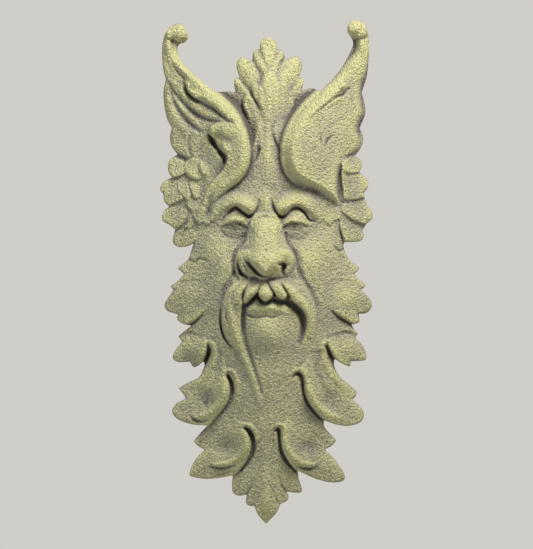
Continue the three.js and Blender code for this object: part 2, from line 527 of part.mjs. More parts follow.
function carveBeard() {
  // First leaf over the second, on each side
  lift(
    [[[178, 314.4]], [[176, 321], [184, 325.5], [192, 322.5], [200, 316.5]], [[212, 300], [205, 280], [180, 280],
      [160, 308]]],
    [[168, 312, 2], [182, 321, 5], [195, 317, 6], [203, 305, 1], [200, 290, -2], [170, 295, 0]],
    2.5,
  );
  lift(
    [[[358.6, 313.6]], [[360.5, 322], [355, 325], [347, 321], [333.5, 312.5]], [[322, 300], [330, 280], [357, 280],
      [374, 308]]],
    [[368, 312, 2], [355, 321, 5], [340, 316, 6], [330, 303, 1], [335, 290, -2], [366, 295, 0]],
    2.5,
  );
  // Second leaf, down to the eye between it and the third
  lift(
    [[[170, 364], [189.8, 363]], [[193, 368.5], [202, 365], [205.5, 357], [205, 347]], [[208, 335], [190, 330],
      [170, 340]]],
    [[176, 358, 1], [193, 364, 3], [202, 358, 6], [205, 350, 6], [204, 338, 1], [190, 340, -2]],
    2.5,
  );
  lift(
    [[[370, 363], [351, 362]], [[350, 368], [343, 364.5], [334, 359], [330, 348]], [[326, 335], [345, 330],
      [370, 340]]],
    [[364, 357, 1], [350, 364, 3], [337, 358, 6], [331, 350, 6], [331, 338, 1], [348, 340, -2]],
    2.5,
  );
  bead([[208.5, 349, 4, -10], [207, 356, 4, -12], [204, 364, 3.5, -10]]);
  bead([[328, 348, 4, -10], [331, 355, 4, -12], [334, 362, 3.5, -10]]);
  bead([[213, 344, 5, 3], [214, 352, 6, 4], [212, 364, 7, 5], [203, 377, 7, 4], [190, 386, 6, 2]]);
  bead([[323, 343, 5, 3], [322, 352, 6, 4], [324, 364, 7, 5], [333, 377, 7, 4], [345, 387, 6, 2]]);
  // Third leaf, with its raised inner rim and the channel beside it
  lift(
    [[[200, 428], [208, 425]], [[218, 414], [225, 402], [227.5, 388], [226, 377]], [[224, 365], [212, 362],
      [200, 385], [190, 400], [185, 412], [190, 420]]],
    [[195, 424, 2], [208, 420, 7], [216, 411, 8], [223, 397, 7], [224, 380, 4], [215, 368, 0], [205, 390, -3],
      [192, 412, -1], [200, 410, 2]],
    3,
  );
  lift(
    [[[323.6, 420.5]], [[314, 409], [308, 397], [305, 386], [302, 377]], [[305, 365], [318, 362], [330, 385],
      [342, 400], [348, 412], [340, 430]]],
    [[340, 424, 2], [326, 416, 7], [316, 407, 8], [310, 394, 7], [305, 380, 4], [316, 368, 0], [326, 390, -3],
      [342, 412, -1], [333, 409, 2]],
    3,
  );
  bead([[229.5, 378, 4, -9], [231.5, 387, 5, -9], [230.5, 397, 5, -6], [225, 408, 4.5, -4]]);
  bead([[300, 377, 4, -9], [303.5, 387, 4.5, -9], [306.5, 398, 5, -8], [313, 410, 5, -7], [321, 420, 4, -5]]);
  swell(206, 400, 9, 12, -3, 30);
  swell(330, 400, 9, 12, -3, -30);
  // Fourth leaf, likewise
  lift(
    [[[233, 477]], [[243, 466], [248.5, 452], [249.5, 440], [247, 430]], [[243, 420], [230, 418], [225, 445],
      [205, 462], [200, 475], [205, 485]]],
    [[212, 478, 1], [232, 473, 4], [240, 464, 6], [245, 450, 7], [246, 435, 5], [236, 422, 0], [226, 445, -3],
      [208, 466, 0], [218, 463, 3]],
    3,
  );
  lift(
    [[[298, 472]], [[290, 462], [284, 448], [281, 438], [280, 429]], [[284, 418], [298, 418], [304, 445],
      [322, 462], [330, 475], [325, 485]]],
    [[320, 478, 1], [300, 470, 4], [291, 459, 6], [286, 446, 7], [283, 434, 5], [294, 422, 0], [304, 445, -3],
      [323, 466, 0], [312, 463, 3]],
    3,
  );
  bead([[250, 431, 4, -9], [253.5, 439, 4.5, -8], [252.5, 451, 4.5, -5], [247, 464, 4, -4]]);
  bead([[277.5, 431, 4, -9], [279.5, 442, 4, -9], [284, 455, 4.5, -8], [290, 465, 4.5, -8], [296, 473, 4, -6]]);
}

// Splits the square of nodes into right triangles, each as the two ends of its long side and its corner.
// A triangle is split at the middle of its long side where it would miss the relief by more than the
// tolerance, counting only the nodes on the mask or beside it.
function facetsWithin(tolerance, counts) {
  const topRight = gridCells;
  const bottomLeft = gridCells * nodes;
  const bottomRight = nodes * nodes - 1;
  const roots = [[topRight, bottomLeft, 0], [bottomLeft, topRight, bottomRight]];
  const levels = [roots];
  const splits = 2 * Math.log2(gridCells);
  for (let level = 1; level < splits; level += 1) {
    levels.push(levels[level - 1].flatMap(([a, b, c]) => [[c, a, (a + b) / 2], [b, c, (a + b) / 2]]));
  }
  const worst = new Float64Array(nodes * nodes);
  for (let level = splits - 1; level >= 0; level -= 1) {
    for (const [a, b, c] of levels[level]) {
      const middle = (a + b) / 2;
      const missed = counts[middle] ? Math.abs((relief[a] + relief[b]) / 2 - relief[middle]) : 0;
      const finer = level < splits - 1 ? Math.max(worst[(a + c) / 2], worst[(b + c) / 2]) : 0;
      worst[middle] = Math.max(worst[middle], missed, finer);
    }
  }
  const facets = [];
  const split = (a, b, c, level) => {
    if (level < splits && worst[(a + b) / 2] > tolerance) {
      split(c, a, (a + b) / 2, level + 1);
      split(b, c, (a + b) / 2, level + 1);
    } else {
      facets.push([a, b, c]);
    }
  };
  for (const root of roots) {
    split(...root, 0);
  }
  return facets;
}

// A closed block whose front is the relief, reaching past the back plane so that the outline cuts it clean.
function reliefBlock(facets) {
  const places = [];
  const indices = [];
  const numbers = new Map();
  const numberOf = (node, isBack) => {
    const key = isBack ? -node - 1 : node;
    if (!numbers.has(key)) {
      numbers.set(key, places.length / 3);
      const u = gridLeft + (node % nodes) * gridPitch;
      const v = gridTop + Math.floor(node / nodes) * gridPitch;
      places.push(u - originU, isBack ? cutClearance : -relief[node], originV - v);
    }
    return numbers.get(key);
  };
  const isRightTurn = (a, b, c) => {
    const [au, bu, cu] = [a, b, c].map((node) => node % nodes);
    const [av, bv, cv] = [a, b, c].map((node) => Math.floor(node / nodes));
    return (bu - au) * (cv - av) - (cu - au) * (bv - av) > 0;
  };
  const edges = new Set();
  for (const [a, b, c] of facets) {
    const turned = isRightTurn(a, b, c) ? [a, c, b] : [a, b, c];
    indices.push(...turned.map((node) => numberOf(node, false)));
    turned.forEach((node, i) => edges.add(`${node} ${turned[(i + 1) % 3]}`));
  }
  const middleBack = (nodes * nodes - 1) / 2;
  for (const edge of edges) {
    const [a, b] = edge.split(" ").map(Number);
    if (!edges.has(`${b} ${a}`)) {
      indices.push(numberOf(b, false), numberOf(a, false), numberOf(a, true));
      indices.push(numberOf(b, false), numberOf(a, true), numberOf(b, true));
      indices.push(numberOf(b, true), numberOf(a, true), numberOf(middleBack, true));
    }
  }
  const geometry = new THREE.BufferGeometry();
  geometry.setAttribute("position", new THREE.Float32BufferAttribute(places, 3));
  geometry.setIndex(indices);
  return geometry;
}

// The outline pushed from the back plane out past the deepest relief.
function outlinePrism(line) {
  const shape = new THREE.Shape(line.map(([u, v]) => new THREE.Vector2(u - originU, originV - v)));
  const prism = new THREE.ExtrudeGeometry(shape, { depth: reliefLimit, bevelEnabled: false });
  const places = prism.attributes.position;
  for (let i = 0; i < places.count; i += 1) {
    places.setXYZ(i, places.getX(i), -places.getZ(i), places.getY(i));
  }
  return prism;
}

function solidOf(geometry) {
  geometry.deleteAttribute("normal");
  geometry.deleteAttribute("uv");
  const merged = mergeVertices(geometry, 1e-4);
  return new wasm.Manifold(new wasm.Mesh({
    numProp: 3,
    vertProperties: new Float32Array(merged.attributes.position.array),
    triVerts: new Uint32Array(merged.index.array),
  }));
}

function meshOf(name, solid, material) {
  const { vertProperties, triVerts } = solid.getMesh();
  const geometry = new THREE.BufferGeometry();
  geometry.setAttribute("position", new THREE.BufferAttribute(new Float32Array(vertProperties), 3));
  geometry.setIndex(new THREE.BufferAttribute(new Uint32Array(triVerts), 1));
  const mesh = new THREE.Mesh(geometry, material);
  mesh.name = name;
  return mesh;
}

const outlineLine = closedLine(Object.values(outline), longestSpan);
const bodyHeightAt = plateThrough(bodyHeights);
overBox(maskLeft, gridTop, maskRight, gridTop + gridCells * gridPitch, (index, u, v) => {
  relief[index] = bodyHeightAt(u, v);
});
carveWings();
carveSideLeaves();
carveCrown();
carveHorns();
carveWingCurls();
carveFace();
carveBeard();

const countsForFacets = new Uint8Array(nodes * nodes);
overBox(maskLeft, gridTop, maskRight, gridTop + gridCells * gridPitch, (index, u, v) => {
  relief[index] = Math.max(relief[index], edgeThickness);
  countsForFacets[index] = depthInside(outlineLine, u, v) > -gridPitch ? 1 : 0;
});

const castStone = new THREE.MeshStandardMaterial({ color: 0xc6c194, roughness: 0.92, metalness: 0 });
const block = solidOf(reliefBlock(facetsWithin(facetTolerance, countsForFacets)));
const cutBlock = block.intersect(solidOf(outlinePrism(outlineLine)));

const mask = new THREE.Group();
mask.add(meshOf("mask", cutBlock, castStone));

export default mask;
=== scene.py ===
# Foliate wall mask, cast in one piece: the fine relief, its cast-stone finish, light and camera.
import math

import bpy
import numpy as np
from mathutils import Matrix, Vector


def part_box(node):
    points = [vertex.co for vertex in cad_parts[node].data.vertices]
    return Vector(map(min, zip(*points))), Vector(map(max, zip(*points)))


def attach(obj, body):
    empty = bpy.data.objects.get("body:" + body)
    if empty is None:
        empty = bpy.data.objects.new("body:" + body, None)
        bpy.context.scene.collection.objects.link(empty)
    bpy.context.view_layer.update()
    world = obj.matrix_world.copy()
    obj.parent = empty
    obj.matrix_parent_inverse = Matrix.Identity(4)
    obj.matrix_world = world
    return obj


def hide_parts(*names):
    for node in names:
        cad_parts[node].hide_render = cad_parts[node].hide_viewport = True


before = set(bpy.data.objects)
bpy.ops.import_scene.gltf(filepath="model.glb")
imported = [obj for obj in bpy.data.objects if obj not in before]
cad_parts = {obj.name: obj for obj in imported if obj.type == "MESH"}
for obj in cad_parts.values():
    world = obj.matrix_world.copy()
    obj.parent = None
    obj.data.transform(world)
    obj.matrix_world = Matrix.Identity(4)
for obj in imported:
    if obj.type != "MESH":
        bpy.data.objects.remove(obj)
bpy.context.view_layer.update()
maskLow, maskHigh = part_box("mask")
print("frame loaded, mask", [round(v * 1000, 1) for v in maskHigh - maskLow], "mm")

# The carving is drawn on a sheet: u to the right and v down, in mm. The part's origin lies at this place.
sheetPlace = {"originU": 267.0, "originV": 272.0, "left": 157.0, "right": 376.0, "top": 17.0,
              "bottom": 527.0}

reliefGrid = {
    "pitch": 0.93,          # mm between two nodes of the mesh
    "leastEdge": 9.5,       # thinnest edge of the casting
    "mostHeight": 77.0,     # the nose stands this far from the wall
    "lipRadius": 3.0,       # how far in from the outline the front edge is rounded
    "lipDrop": 2.6,
    "wallRows": (0.72, 0.38, 0.1),   # where the side wall has its rows, as a share of its height
}

# The outline, clockwise from the root of the left horn: each stretch is a curve that starts where the one
# before it ends, and two stretches meet in a corner.
outline = {
    "hornLeftOuter": [[163.4, 70], [162.2, 55], [162.6, 44], [165.5, 34], [171, 26.5], [179, 23.6],
                      [185, 27],
                      [188, 38]],
    "hornLeftInner": [[184.5, 42], [179.5, 43.5], [177.2, 48], [179, 57], [186, 67], [200, 80],
                      [215, 92.5]],
    "plateLeft": [[226, 91.6], [235.8, 92.3]],
    "crownToothLeft": [[234.3, 85], [234.8, 78.2]],
    "crownToothLeftTop": [[239.8, 77]],
    "crownLobeLeft": [[236.8, 68.5], [237, 61.5], [241, 57.9], [247, 58.7], [252.4, 61]],
    "crownBudLeft": [[253, 53.5], [256, 50], [259.6, 49.3]],
    "crownTop": [[261, 42], [268.2, 37], [275.2, 41.5], [277.4, 49.3]],
    "crownBudRight": [[282, 50.5], [284, 54.5], [285.4, 59.8]],
    "crownLobeRight": [[291, 57.5], [297.5, 57], [301.6, 63.5], [300.8, 71.5], [298.4, 77]],
    "crownToothRightTop": [[303.6, 78.8]],
    "crownToothRight": [[303.4, 83], [301.4, 91]],
    "plateRight": [[311, 88.1], [320, 91.5]],
    "hornRightInner": [[331, 81], [343, 65.5], [351, 50.5], [353.4, 43.5], [352, 38]],
    "hornRightScroll": [[347.6, 31], [348.8, 23.8], [356, 19.8], [363, 22], [367.6, 32], [369.3, 46]],
    "hornRightOuter": [[368.6, 60], [366.6, 77], [361.6, 92.8]],
    "wingRightUpper": [[364.6, 103], [365.2, 114], [359.6, 128]],
    "wingRightLower": [[363.2, 137], [361.5, 146.5], [354.2, 156.8]],
    "sideRightFirst": [[359, 158.6], [361.8, 165], [359.2, 172.4]],
    "sideRightSecond": [[366.3, 178.5], [368.4, 186], [363.4, 193.4]],
    "sideRightThird": [[366.3, 203.5], [371.3, 211], [372.6, 218], [366.5, 223.8]],
    "sideRightGap": [[362.4, 230]],
    "sideRightFourth": [[363.6, 236], [359.5, 241.2], [344, 242.2]],
    "cheekRight": [[343.4, 247], [347, 256.5], [352.5, 262.5], [359, 266.8]],
    "cheekRightTooth": [[358, 270.5], [354, 273.8]],
    "firstRightTooth": [[359, 279.3], [365.4, 283.4]],
    "firstRightNotch": [[364.6, 287], [360.4, 289.4]],
    "firstRightTip": [[369.5, 298.5], [371.8, 306.5], [366.5, 313], [358.6, 313.6]],
    "firstRightLast": [[359.4, 321.5], [355, 323.8], [351.4, 324.4]],
    "secondRightTooth": [[354.6, 330], [358, 333]],
    "secondRightNotch": [[355, 338]],
    "secondRightTip": [[362, 344.5], [366, 353], [365.6, 359.6], [357, 361.2], [351, 361]],
    "secondRightSpur": [[350.2, 366.8]],
    "secondRightLast": [[343, 364], [334.2, 358.8]],
    "thirdRightUpper": [[334.4, 367], [341, 378], [350, 385.5], [356.8, 391.8]],
    "thirdRightNotch": [[356, 396], [352.4, 399.8]],
    "thirdRightTip": [[360, 407], [364.2, 414.5], [359.5, 422.8], [347, 426], [334, 423.8], [323.6, 420]],
    "fourthRightUpper": [[325, 428], [336.4, 440.6]],
    "fourthRightNotch": [[332, 445.6], [324.6, 449.6]],
    "fourthRightTip": [[336, 461], [344.8, 476], [341.6, 481.6], [330, 482.4], [314, 478.3], [298, 470.6]],
    "tailRightUpper": [[298.6, 479], [301.8, 488], [300.8, 492.6], [294, 492.8], [286, 491.6]],
    "tailRightLower": [[288.6, 496.5], [286.8, 501], [280.4, 504]],
    "tailTipRight": [[276, 513.5], [266, 524]],
    "tailTipLeft": [[258, 515], [254, 505.4]],
    "tailLeftLower": [[250.4, 506.3], [246, 503], [246.6, 494.4]],
    "tailLeftUpper": [[240, 496], [233.6, 493.6], [232, 487], [232.8, 475.4]],
    "fourthLeftTip": [[219, 478], [205, 479], [192, 476.8], [189.4, 473.4], [195, 460], [204.6, 449.6]],
    "fourthLeftNotch": [[198, 446], [193.6, 441.2]],
    "fourthLeftUpper": [[201, 432.6], [207.6, 425.4]],
    "thirdLeftTip": [[193, 424.4], [179, 420], [172.2, 412.5], [175.6, 404], [186, 398.6]],
    "thirdLeftNotch": [[182.4, 393], [178.6, 388]],
    "thirdLeftUpper": [[189, 382.4], [199, 377], [204.6, 366]],
    "secondLeftLast": [[203.6, 361.6], [198, 365.8], [193.4, 367], [189.8, 361.6]],
    "secondLeftTip": [[179, 362.2], [172.8, 358.6], [175, 351], [182, 341.6]],
    "secondLeftNotch": [[178.2, 336.4]],
    "secondLeftUpper": [[184.5, 331], [191.6, 325.6]],
    "firstLeftLast": [[183, 323.8], [177.4, 319.6], [178, 314.4]],
    "firstLeftTip": [[167.5, 311], [164.4, 305.5], [167.5, 298.5], [173.4, 290]],
    "firstLeftNotch": [[170.4, 286.2]],
    "firstLeftTooth": [[177.5, 281], [184.2, 274.2]],
    "cheekLeftTooth": [[177.6, 268]],
    "cheekLeft": [[187.5, 260], [191, 252], [193.6, 243]],
    "sideLeftFourth": [[187, 246.3], [177.5, 246.8], [172.6, 241], [175.2, 229.6]],
    "sideLeftThird": [[170, 225.3], [162.4, 220.3], [163.6, 212], [169, 206.6]],
    "sideLeftGap": [[164.3, 201.5], [163.5, 194.5]],
    "sideLeftSecond": [[160, 188.5], [164.5, 181], [171.8, 177.8]],
    "sideLeftFirst": [[168.2, 170.5], [169.5, 160.5], [177.6, 154.4]],
    "wingLeftLower": [[171.5, 146], [170, 137], [171.8, 128]],
    "wingLeftUpper": [[167.2, 119], [164.2, 105], [163.6, 91], [166, 79.5]],
}

# Heights above the back of the large forms, as [u, v, height], from the top down
formHeights = {
    "underCrown": [[225, 94, 16], [311, 92, 15], [240, 112, 22], [300, 112, 20], [268, 95, 24],
                   [250, 125, 31],
                   [288, 125, 31], [268, 135, 36], [252, 155, 38], [283, 155, 38]],
    "forehead": [[268, 160, 42], [268, 185, 43], [245, 185, 41], [225, 196, 38], [208, 211, 32],
                 [197, 228, 25],
                 [290, 185, 41], [310, 196, 38], [327, 209, 32], [340, 226, 25], [268, 212, 47]],
    "eyesAndCheeks": [[235, 230, 38], [299, 230, 38], [218, 228, 35], [316, 228, 35], [228, 250, 43],
                      [306, 250, 43], [208, 250, 34], [328, 250, 34], [193, 250, 22], [342, 248, 22],
                      [205, 275, 33], [330, 275, 33], [225, 280, 45], [310, 280, 45]],
    "mouthAndChin": [[268, 285, 58], [268, 312, 57], [245, 300, 52], [290, 300, 52], [222, 312, 40],
                     [315, 312, 40], [268, 330, 57], [246, 332, 48], [290, 332, 48], [268, 352, 51],
                     [240, 352, 42], [297, 352, 42], [222, 350, 36], [314, 348, 36]],
    "firstLeaves": [[180, 270, 15], [357, 270, 15], [169, 300, 12], [369, 303, 12], [188, 295, 25],
                    [350, 298, 25],
                    [205, 308, 32], [330, 308, 32], [182, 321, 13], [356, 320, 13]],
    "secondLeaves": [[204, 333, 28], [332, 333, 28], [188, 345, 20], [349, 345, 20], [175, 357, 11],
                     [364, 357, 11],
                     [193, 364, 13], [350, 364, 13]],
    "thirdLeaves": [[268, 376, 46], [256, 376, 44], [280, 376, 44], [245, 382, 38], [291, 382, 38],
                    [224, 383, 32], [310, 383, 32], [205, 386, 25],
                    [330, 386, 25], [182, 388, 12], [354, 392, 12], [174, 412, 12], [362, 414, 12],
                    [198, 405, 18],
                    [335, 408, 18], [195, 422, 13], [340, 423, 13], [268, 402, 39], [257, 402, 38],
                    [279, 402, 38], [245, 408, 33], [291, 408, 33],
                    [222, 412, 24], [314, 412, 24]],
    "fourthLeaves": [[268, 430, 32], [257, 430, 31], [279, 430, 31], [240, 436, 27], [296, 436, 27],
                     [215, 440, 18], [318, 442, 18], [196, 441, 11],
                     [334, 441, 11], [268, 455, 25], [257, 455, 23.5], [278, 455, 23.5], [238, 462, 17],
                     [300, 462, 18], [205, 462, 14],
                     [328, 465, 14], [192, 474, 11], [342, 479, 11], [215, 477, 11], [310, 475, 11]],
    "tail": [[266, 480, 20], [256, 480, 19], [276, 480, 19], [238, 488, 12], [295, 486, 12],
             [250, 498, 12], [283, 498, 12], [266, 502, 17],
             [266, 522, 9]],
}


def curveThrough(rows, steps):
    rows = np.asarray(rows, float)
    if len(rows) == 2:
        t = np.linspace(0, 1, steps + 1)[:, None]
        return rows[0] * (1 - t) + rows[1] * t
    ends = np.vstack([2 * rows[0] - rows[1], rows, 2 * rows[-1] - rows[-2]])
    t = np.linspace(0, 1, steps, endpoint=False)[:, None]
    parts = []
    for a, b, c, d in zip(ends, ends[1:], ends[2:], ends[3:]):
        parts.append(0.5 * (2 * b + (c - a) * t + (2 * a - 5 * b + 4 * c - d) * t ** 2
                            + (3 * b - a - 3 * c + d) * t ** 3))
    return np.vstack(parts + [rows[-1:]])


def closedLine(stretches, steps=5):
    stretches = list(stretches)
    start = stretches[-1][-1]
    parts = []
    for stretch in stretches:
        parts.append(curveThrough([start] + list(stretch), steps)[:-1])
        start = stretch[-1]
    return np.vstack(parts)


def nearestOnLine(u, v, line):
    # signed distance to a closed line, positive inside, with the nearest place on it
    best = np.full(u.shape, 1e9)
    nearU = np.zeros(u.shape)
    nearV = np.zeros(u.shape)
    inside = np.zeros(u.shape, bool)
    for (au, av), (bu, bv) in zip(line, np.roll(line, -1, axis=0)):
        du, dv = bu - au, bv - av
        t = np.clip(((u - au) * du + (v - av) * dv) / max(du * du + dv * dv, 1e-12), 0, 1)
        pu, pv = au + t * du, av + t * dv
        away = (u - pu) ** 2 + (v - pv) ** 2
        closer = away < best
        best = np.where(closer, away, best)
        nearU = np.where(closer, pu, nearU)
        nearV = np.where(closer, pv, nearV)
        if av != bv:
            inside ^= ((av > v) != (bv > v)) & (u < du * (v - av) / dv + au)
    depth = np.sqrt(best)
    return np.where(inside, depth, -depth), nearU, nearV


def plateThrough(marks, u, v):
    # a smooth surface through marks [u, v, height], as a thin bent plate
    marks = np.asarray(marks, float)
    count, scale = len(marks), 60.0
    places = marks[:, :2] / scale

    def bend(squared):
        return 0.5 * squared * np.log(np.maximum(squared, 1e-20))

    system = np.zeros((count + 3, count + 3))
    system[:count, :count] = bend(((places[:, None] - places[None]) ** 2).sum(-1))
    system[:count, count] = 1
    system[:count, count + 1:] = places
    system[count:, :count] = system[:count, count:].T
    weights = np.linalg.solve(system, np.append(marks[:, 2], [0, 0, 0]))
    u, v = u / scale, v / scale
    height = weights[count] + weights[count + 1] * u + weights[count + 2] * v
    for (placeU, placeV), weight in zip(places, weights):
        height += weight * bend((u - placeU) ** 2 + (v - placeV) ** 2)
    return height


def rounded(a, b, blend):
    near = np.maximum(blend - np.abs(a - b), 0) / blend
    return np.maximum(a, b) + near * near * blend / 4


def eased(t):
    t = np.clip(t, 0, 1)
    return t * t * (3 - 2 * t)


# The sheet that is carved: the places of its nodes, and the height of each above the back
sheetU, sheetV = np.meshgrid(np.arange(sheetPlace["left"], sheetPlace["right"], reliefGrid["pitch"]),
                             np.arange(sheetPlace["top"], sheetPlace["bottom"], reliefGrid["pitch"]))
height = plateThrough(sum(formHeights.values(), []), sheetU, sheetV)


def windowAround(rows, margin):
    # the part of the sheet that a form can touch
    low = np.asarray(rows, float)[:, :2].min(0) - margin
    high = np.asarray(rows, float)[:, :2].max(0) + margin
    firstU, lastU = np.searchsorted(sheetU[0], [low[0], high[0]])
    firstV, lastV = np.searchsorted(sheetV[:, 0], [low[1], high[1]])
    return slice(firstV, lastV), slice(firstU, lastU)


def alongStroke(rows, margin):
    # for each node near a stroke of rows [u, v, halfWidth, ...]: how far in it lies (1 on the middle line,
    # 0 at the side), the distance to the right of it, and the half width and other numbers of the rows there
    line = curveThrough(rows, 7)
    line[:, 2] = np.maximum(line[:, 2], 0.3)
    part = windowAround(line, line[:, 2].max() + margin)
    u, v = sheetU[part], sheetV[part]
    best = np.full(u.shape, -1e9)
    side = np.zeros(u.shape)
    numbers = np.ones((line.shape[1] - 2,) + u.shape)
    for start, end in zip(line, line[1:]):
        du, dv = end[:2] - start[:2]
        length = math.hypot(du, dv) + 1e-9
        t = np.clip(((u - start[0]) * du + (v - start[1]) * dv) / length ** 2, 0, 1)
        awayU, awayV = u - start[0] - t * du, v - start[1] - t * dv
        here = start[2:, None, None] + t * (end - start)[2:, None, None]
        inner = 1 - np.hypot(awayU, awayV) / here[0]
        better = inner > best
        best = np.where(better, inner, best)
        side = np.where(better, (awayV * du - awayU * dv) / length, side)
        numbers = np.where(better, here, numbers)
    return part, best, side, numbers


def body(rows, crown=8.0, blend=4.0, power=2.0, fall=3.0):
    # a rounded body of its own height, that falls by crown to its side and merges with what is there
    part, inner, side, (wide, top) = alongStroke(rows, 8)
    across = np.clip(1 - inner, 0, 1)
    shape = top - crown * (1 - np.sqrt(1 - across ** power)) - fall * np.maximum(-inner, 0) * wide
    height[part] = rounded(height[part], shape, blend)


def bead(rows, soft=1.0):
    # a soft round added to what is there, or a channel where the amount is negative
    part, inner, side, (wide, amount) = alongStroke(rows, 1)
    height[part] += amount * eased(inner) ** soft


def ridge(rows):
    # as a bead, with rows [u, v, leftWidth, rightWidth, amount]: its two sides have widths of their own
    rows = np.asarray(rows, float)
    widest = np.maximum(rows[:, 2], rows[:, 3])
    part, inner, side, (wide, left, right, amount) = alongStroke(np.insert(rows, 2, widest, axis=1), 1)
    onRight = np.clip(side / 1.5 + 0.5, 0, 1)
    reach = np.maximum(left + (right - left) * onRight, 0.3)
    height[part] += amount * eased(1 - (1 - inner) * wide / reach)


def swell(place, size, amount, turn=0.0):
    # a soft round hill or hollow
    cosine, sine = math.cos(math.radians(turn)), math.sin(math.radians(turn))
    away = sheetU - place[0], sheetV - place[1]
    a = (away[0] * cosine + away[1] * sine) / size[0]
    b = (away[1] * cosine - away[0] * sine) / size[1]
    height[...] += amount * np.exp(-(a * a + b * b))


def lift(line, marks, edge=2.5):
    # raises what lies inside a closed line by the amounts at the marks, with a rounded step at the line
    line = closedLine(line)
    part = windowAround(line, 1)
    u, v = sheetU[part], sheetV[part]
    depth = nearestOnLine(u, v, line)[0]
    inner = np.clip(depth / edge, 0, 1)
    raised = plateThrough(marks, u, v)
    height[part] += raised * np.sqrt(1 - (1 - inner) ** 2) * (depth > 0)


def sheet(line, marks, edge=3.0, drop=0.0, blend=2.0, fall=4.0, bevel=0.0):
    # a leaf of its own height laid over what is there, that drops in a rounded or bevelled edge to the line
    line = closedLine(line)
    part = windowAround(line, 6)
    u, v = sheetU[part], sheetV[part]
    depth = nearestOnLine(u, v, line)[0]
    inner = np.clip(1 - depth / edge, 0, 1)
    edgeDrop = (1 - bevel) * (1 - np.sqrt(1 - inner * inner)) + bevel * eased(inner)
    shape = plateThrough(marks, u, v) - drop * edgeDrop + fall * np.minimum(depth, 0)
    height[part] = np.where(depth > -6, rounded(height[part], shape, blend), height[part])


shapes = {"body": body, "bead": bead, "ridge": ridge, "swell": swell, "lift": lift, "sheet": sheet}


def carve(forms):
    for form in forms.values():
        settings = dict(form)
        shapes[settings.pop("kind")](**settings)

# The wings that rise to the two horns: a broad leaf each, its inner side a steep wall towards the crown
wingForms = {
    "leafLeft": {"kind": "sheet", "edge": 10, "drop": 16, "blend": 3, "line": [
        [[160, 90], [160, 105], [162, 119], [166, 128], [166, 137], [166, 148], [174, 158]],
        [[184, 164], [196, 172], [200, 184], [194, 200], [190, 214], [192, 224], [200, 226]],
        [[209, 216], [216, 203], [229, 191], [241, 181], [248, 169], [250.5, 154], [249, 140], [244, 126],
         [238, 114], [229, 103], [215, 90], [204, 78], [190, 64], [181, 52], [184, 36], [170, 12],
         [150, 40], [152, 66], [158, 80]]],
        "marks": [[163, 45, 21], [170, 45, 24], [177, 45, 20], [165, 60, 21], [172, 60, 24], [164, 90, 20],
                  [167, 115, 19], [172, 142, 18], [180, 155, 20], [184, 70, 28], [198, 84, 34],
                  [212, 97, 41],
                  [225, 112, 47], [234, 126, 52], [239, 142, 55], [238, 160, 54], [231, 175, 50],
                  [219, 187, 44], [209, 199, 38], [203, 212, 33], [200, 224, 28], [180, 85, 26],
                  [185, 110, 26], [200, 122, 31], [205, 110, 35], [196, 145, 28], [212, 152, 33],
                  [214, 168, 35], [203, 175, 31], [197, 190, 28], [195, 208, 26], [222, 140, 44],
                  [225, 160, 46]]},
    "leafRight": {"kind": "sheet", "edge": 12, "drop": 18, "bevel": 0.85, "blend": 3, "line": [
        [[368, 100], [370, 114], [364, 128], [368, 137], [366, 150], [358, 160]],
        [[346, 172], [344, 190], [346, 205], [340, 216], [333, 212]],
        [[328, 204], [315, 195], [300, 187.5], [289, 178], [283.5, 166], [282, 152], [284, 139],
         [289, 126], [297, 113], [307, 101], [319, 90], [331, 77], [343, 62], [351, 50], [350, 36],
         [362, 10], [380, 40], [374, 70], [368, 86]]],
        "marks": [[366, 45, 20], [360, 45, 24], [355, 45, 20], [366, 60, 19], [357, 62, 26], [364, 92, 16],
                  [365, 112, 15], [361, 142, 16], [353, 158, 20], [345, 78, 28], [333, 92, 37],
                  [320, 106, 45], [309, 120, 52], [302, 135, 57], [299, 150, 59], [302, 166, 57],
                  [310, 178, 52], [322, 189, 46], [333, 199, 40], [350, 105, 26], [340, 125, 33],
                  [345, 145, 29], [325, 130, 43], [325, 150, 44], [325, 170, 43], [340, 165, 34],
                  [338, 185, 36], [342, 205, 29], [315, 145, 51], [316, 165, 50]]},
}
carve(wingForms)

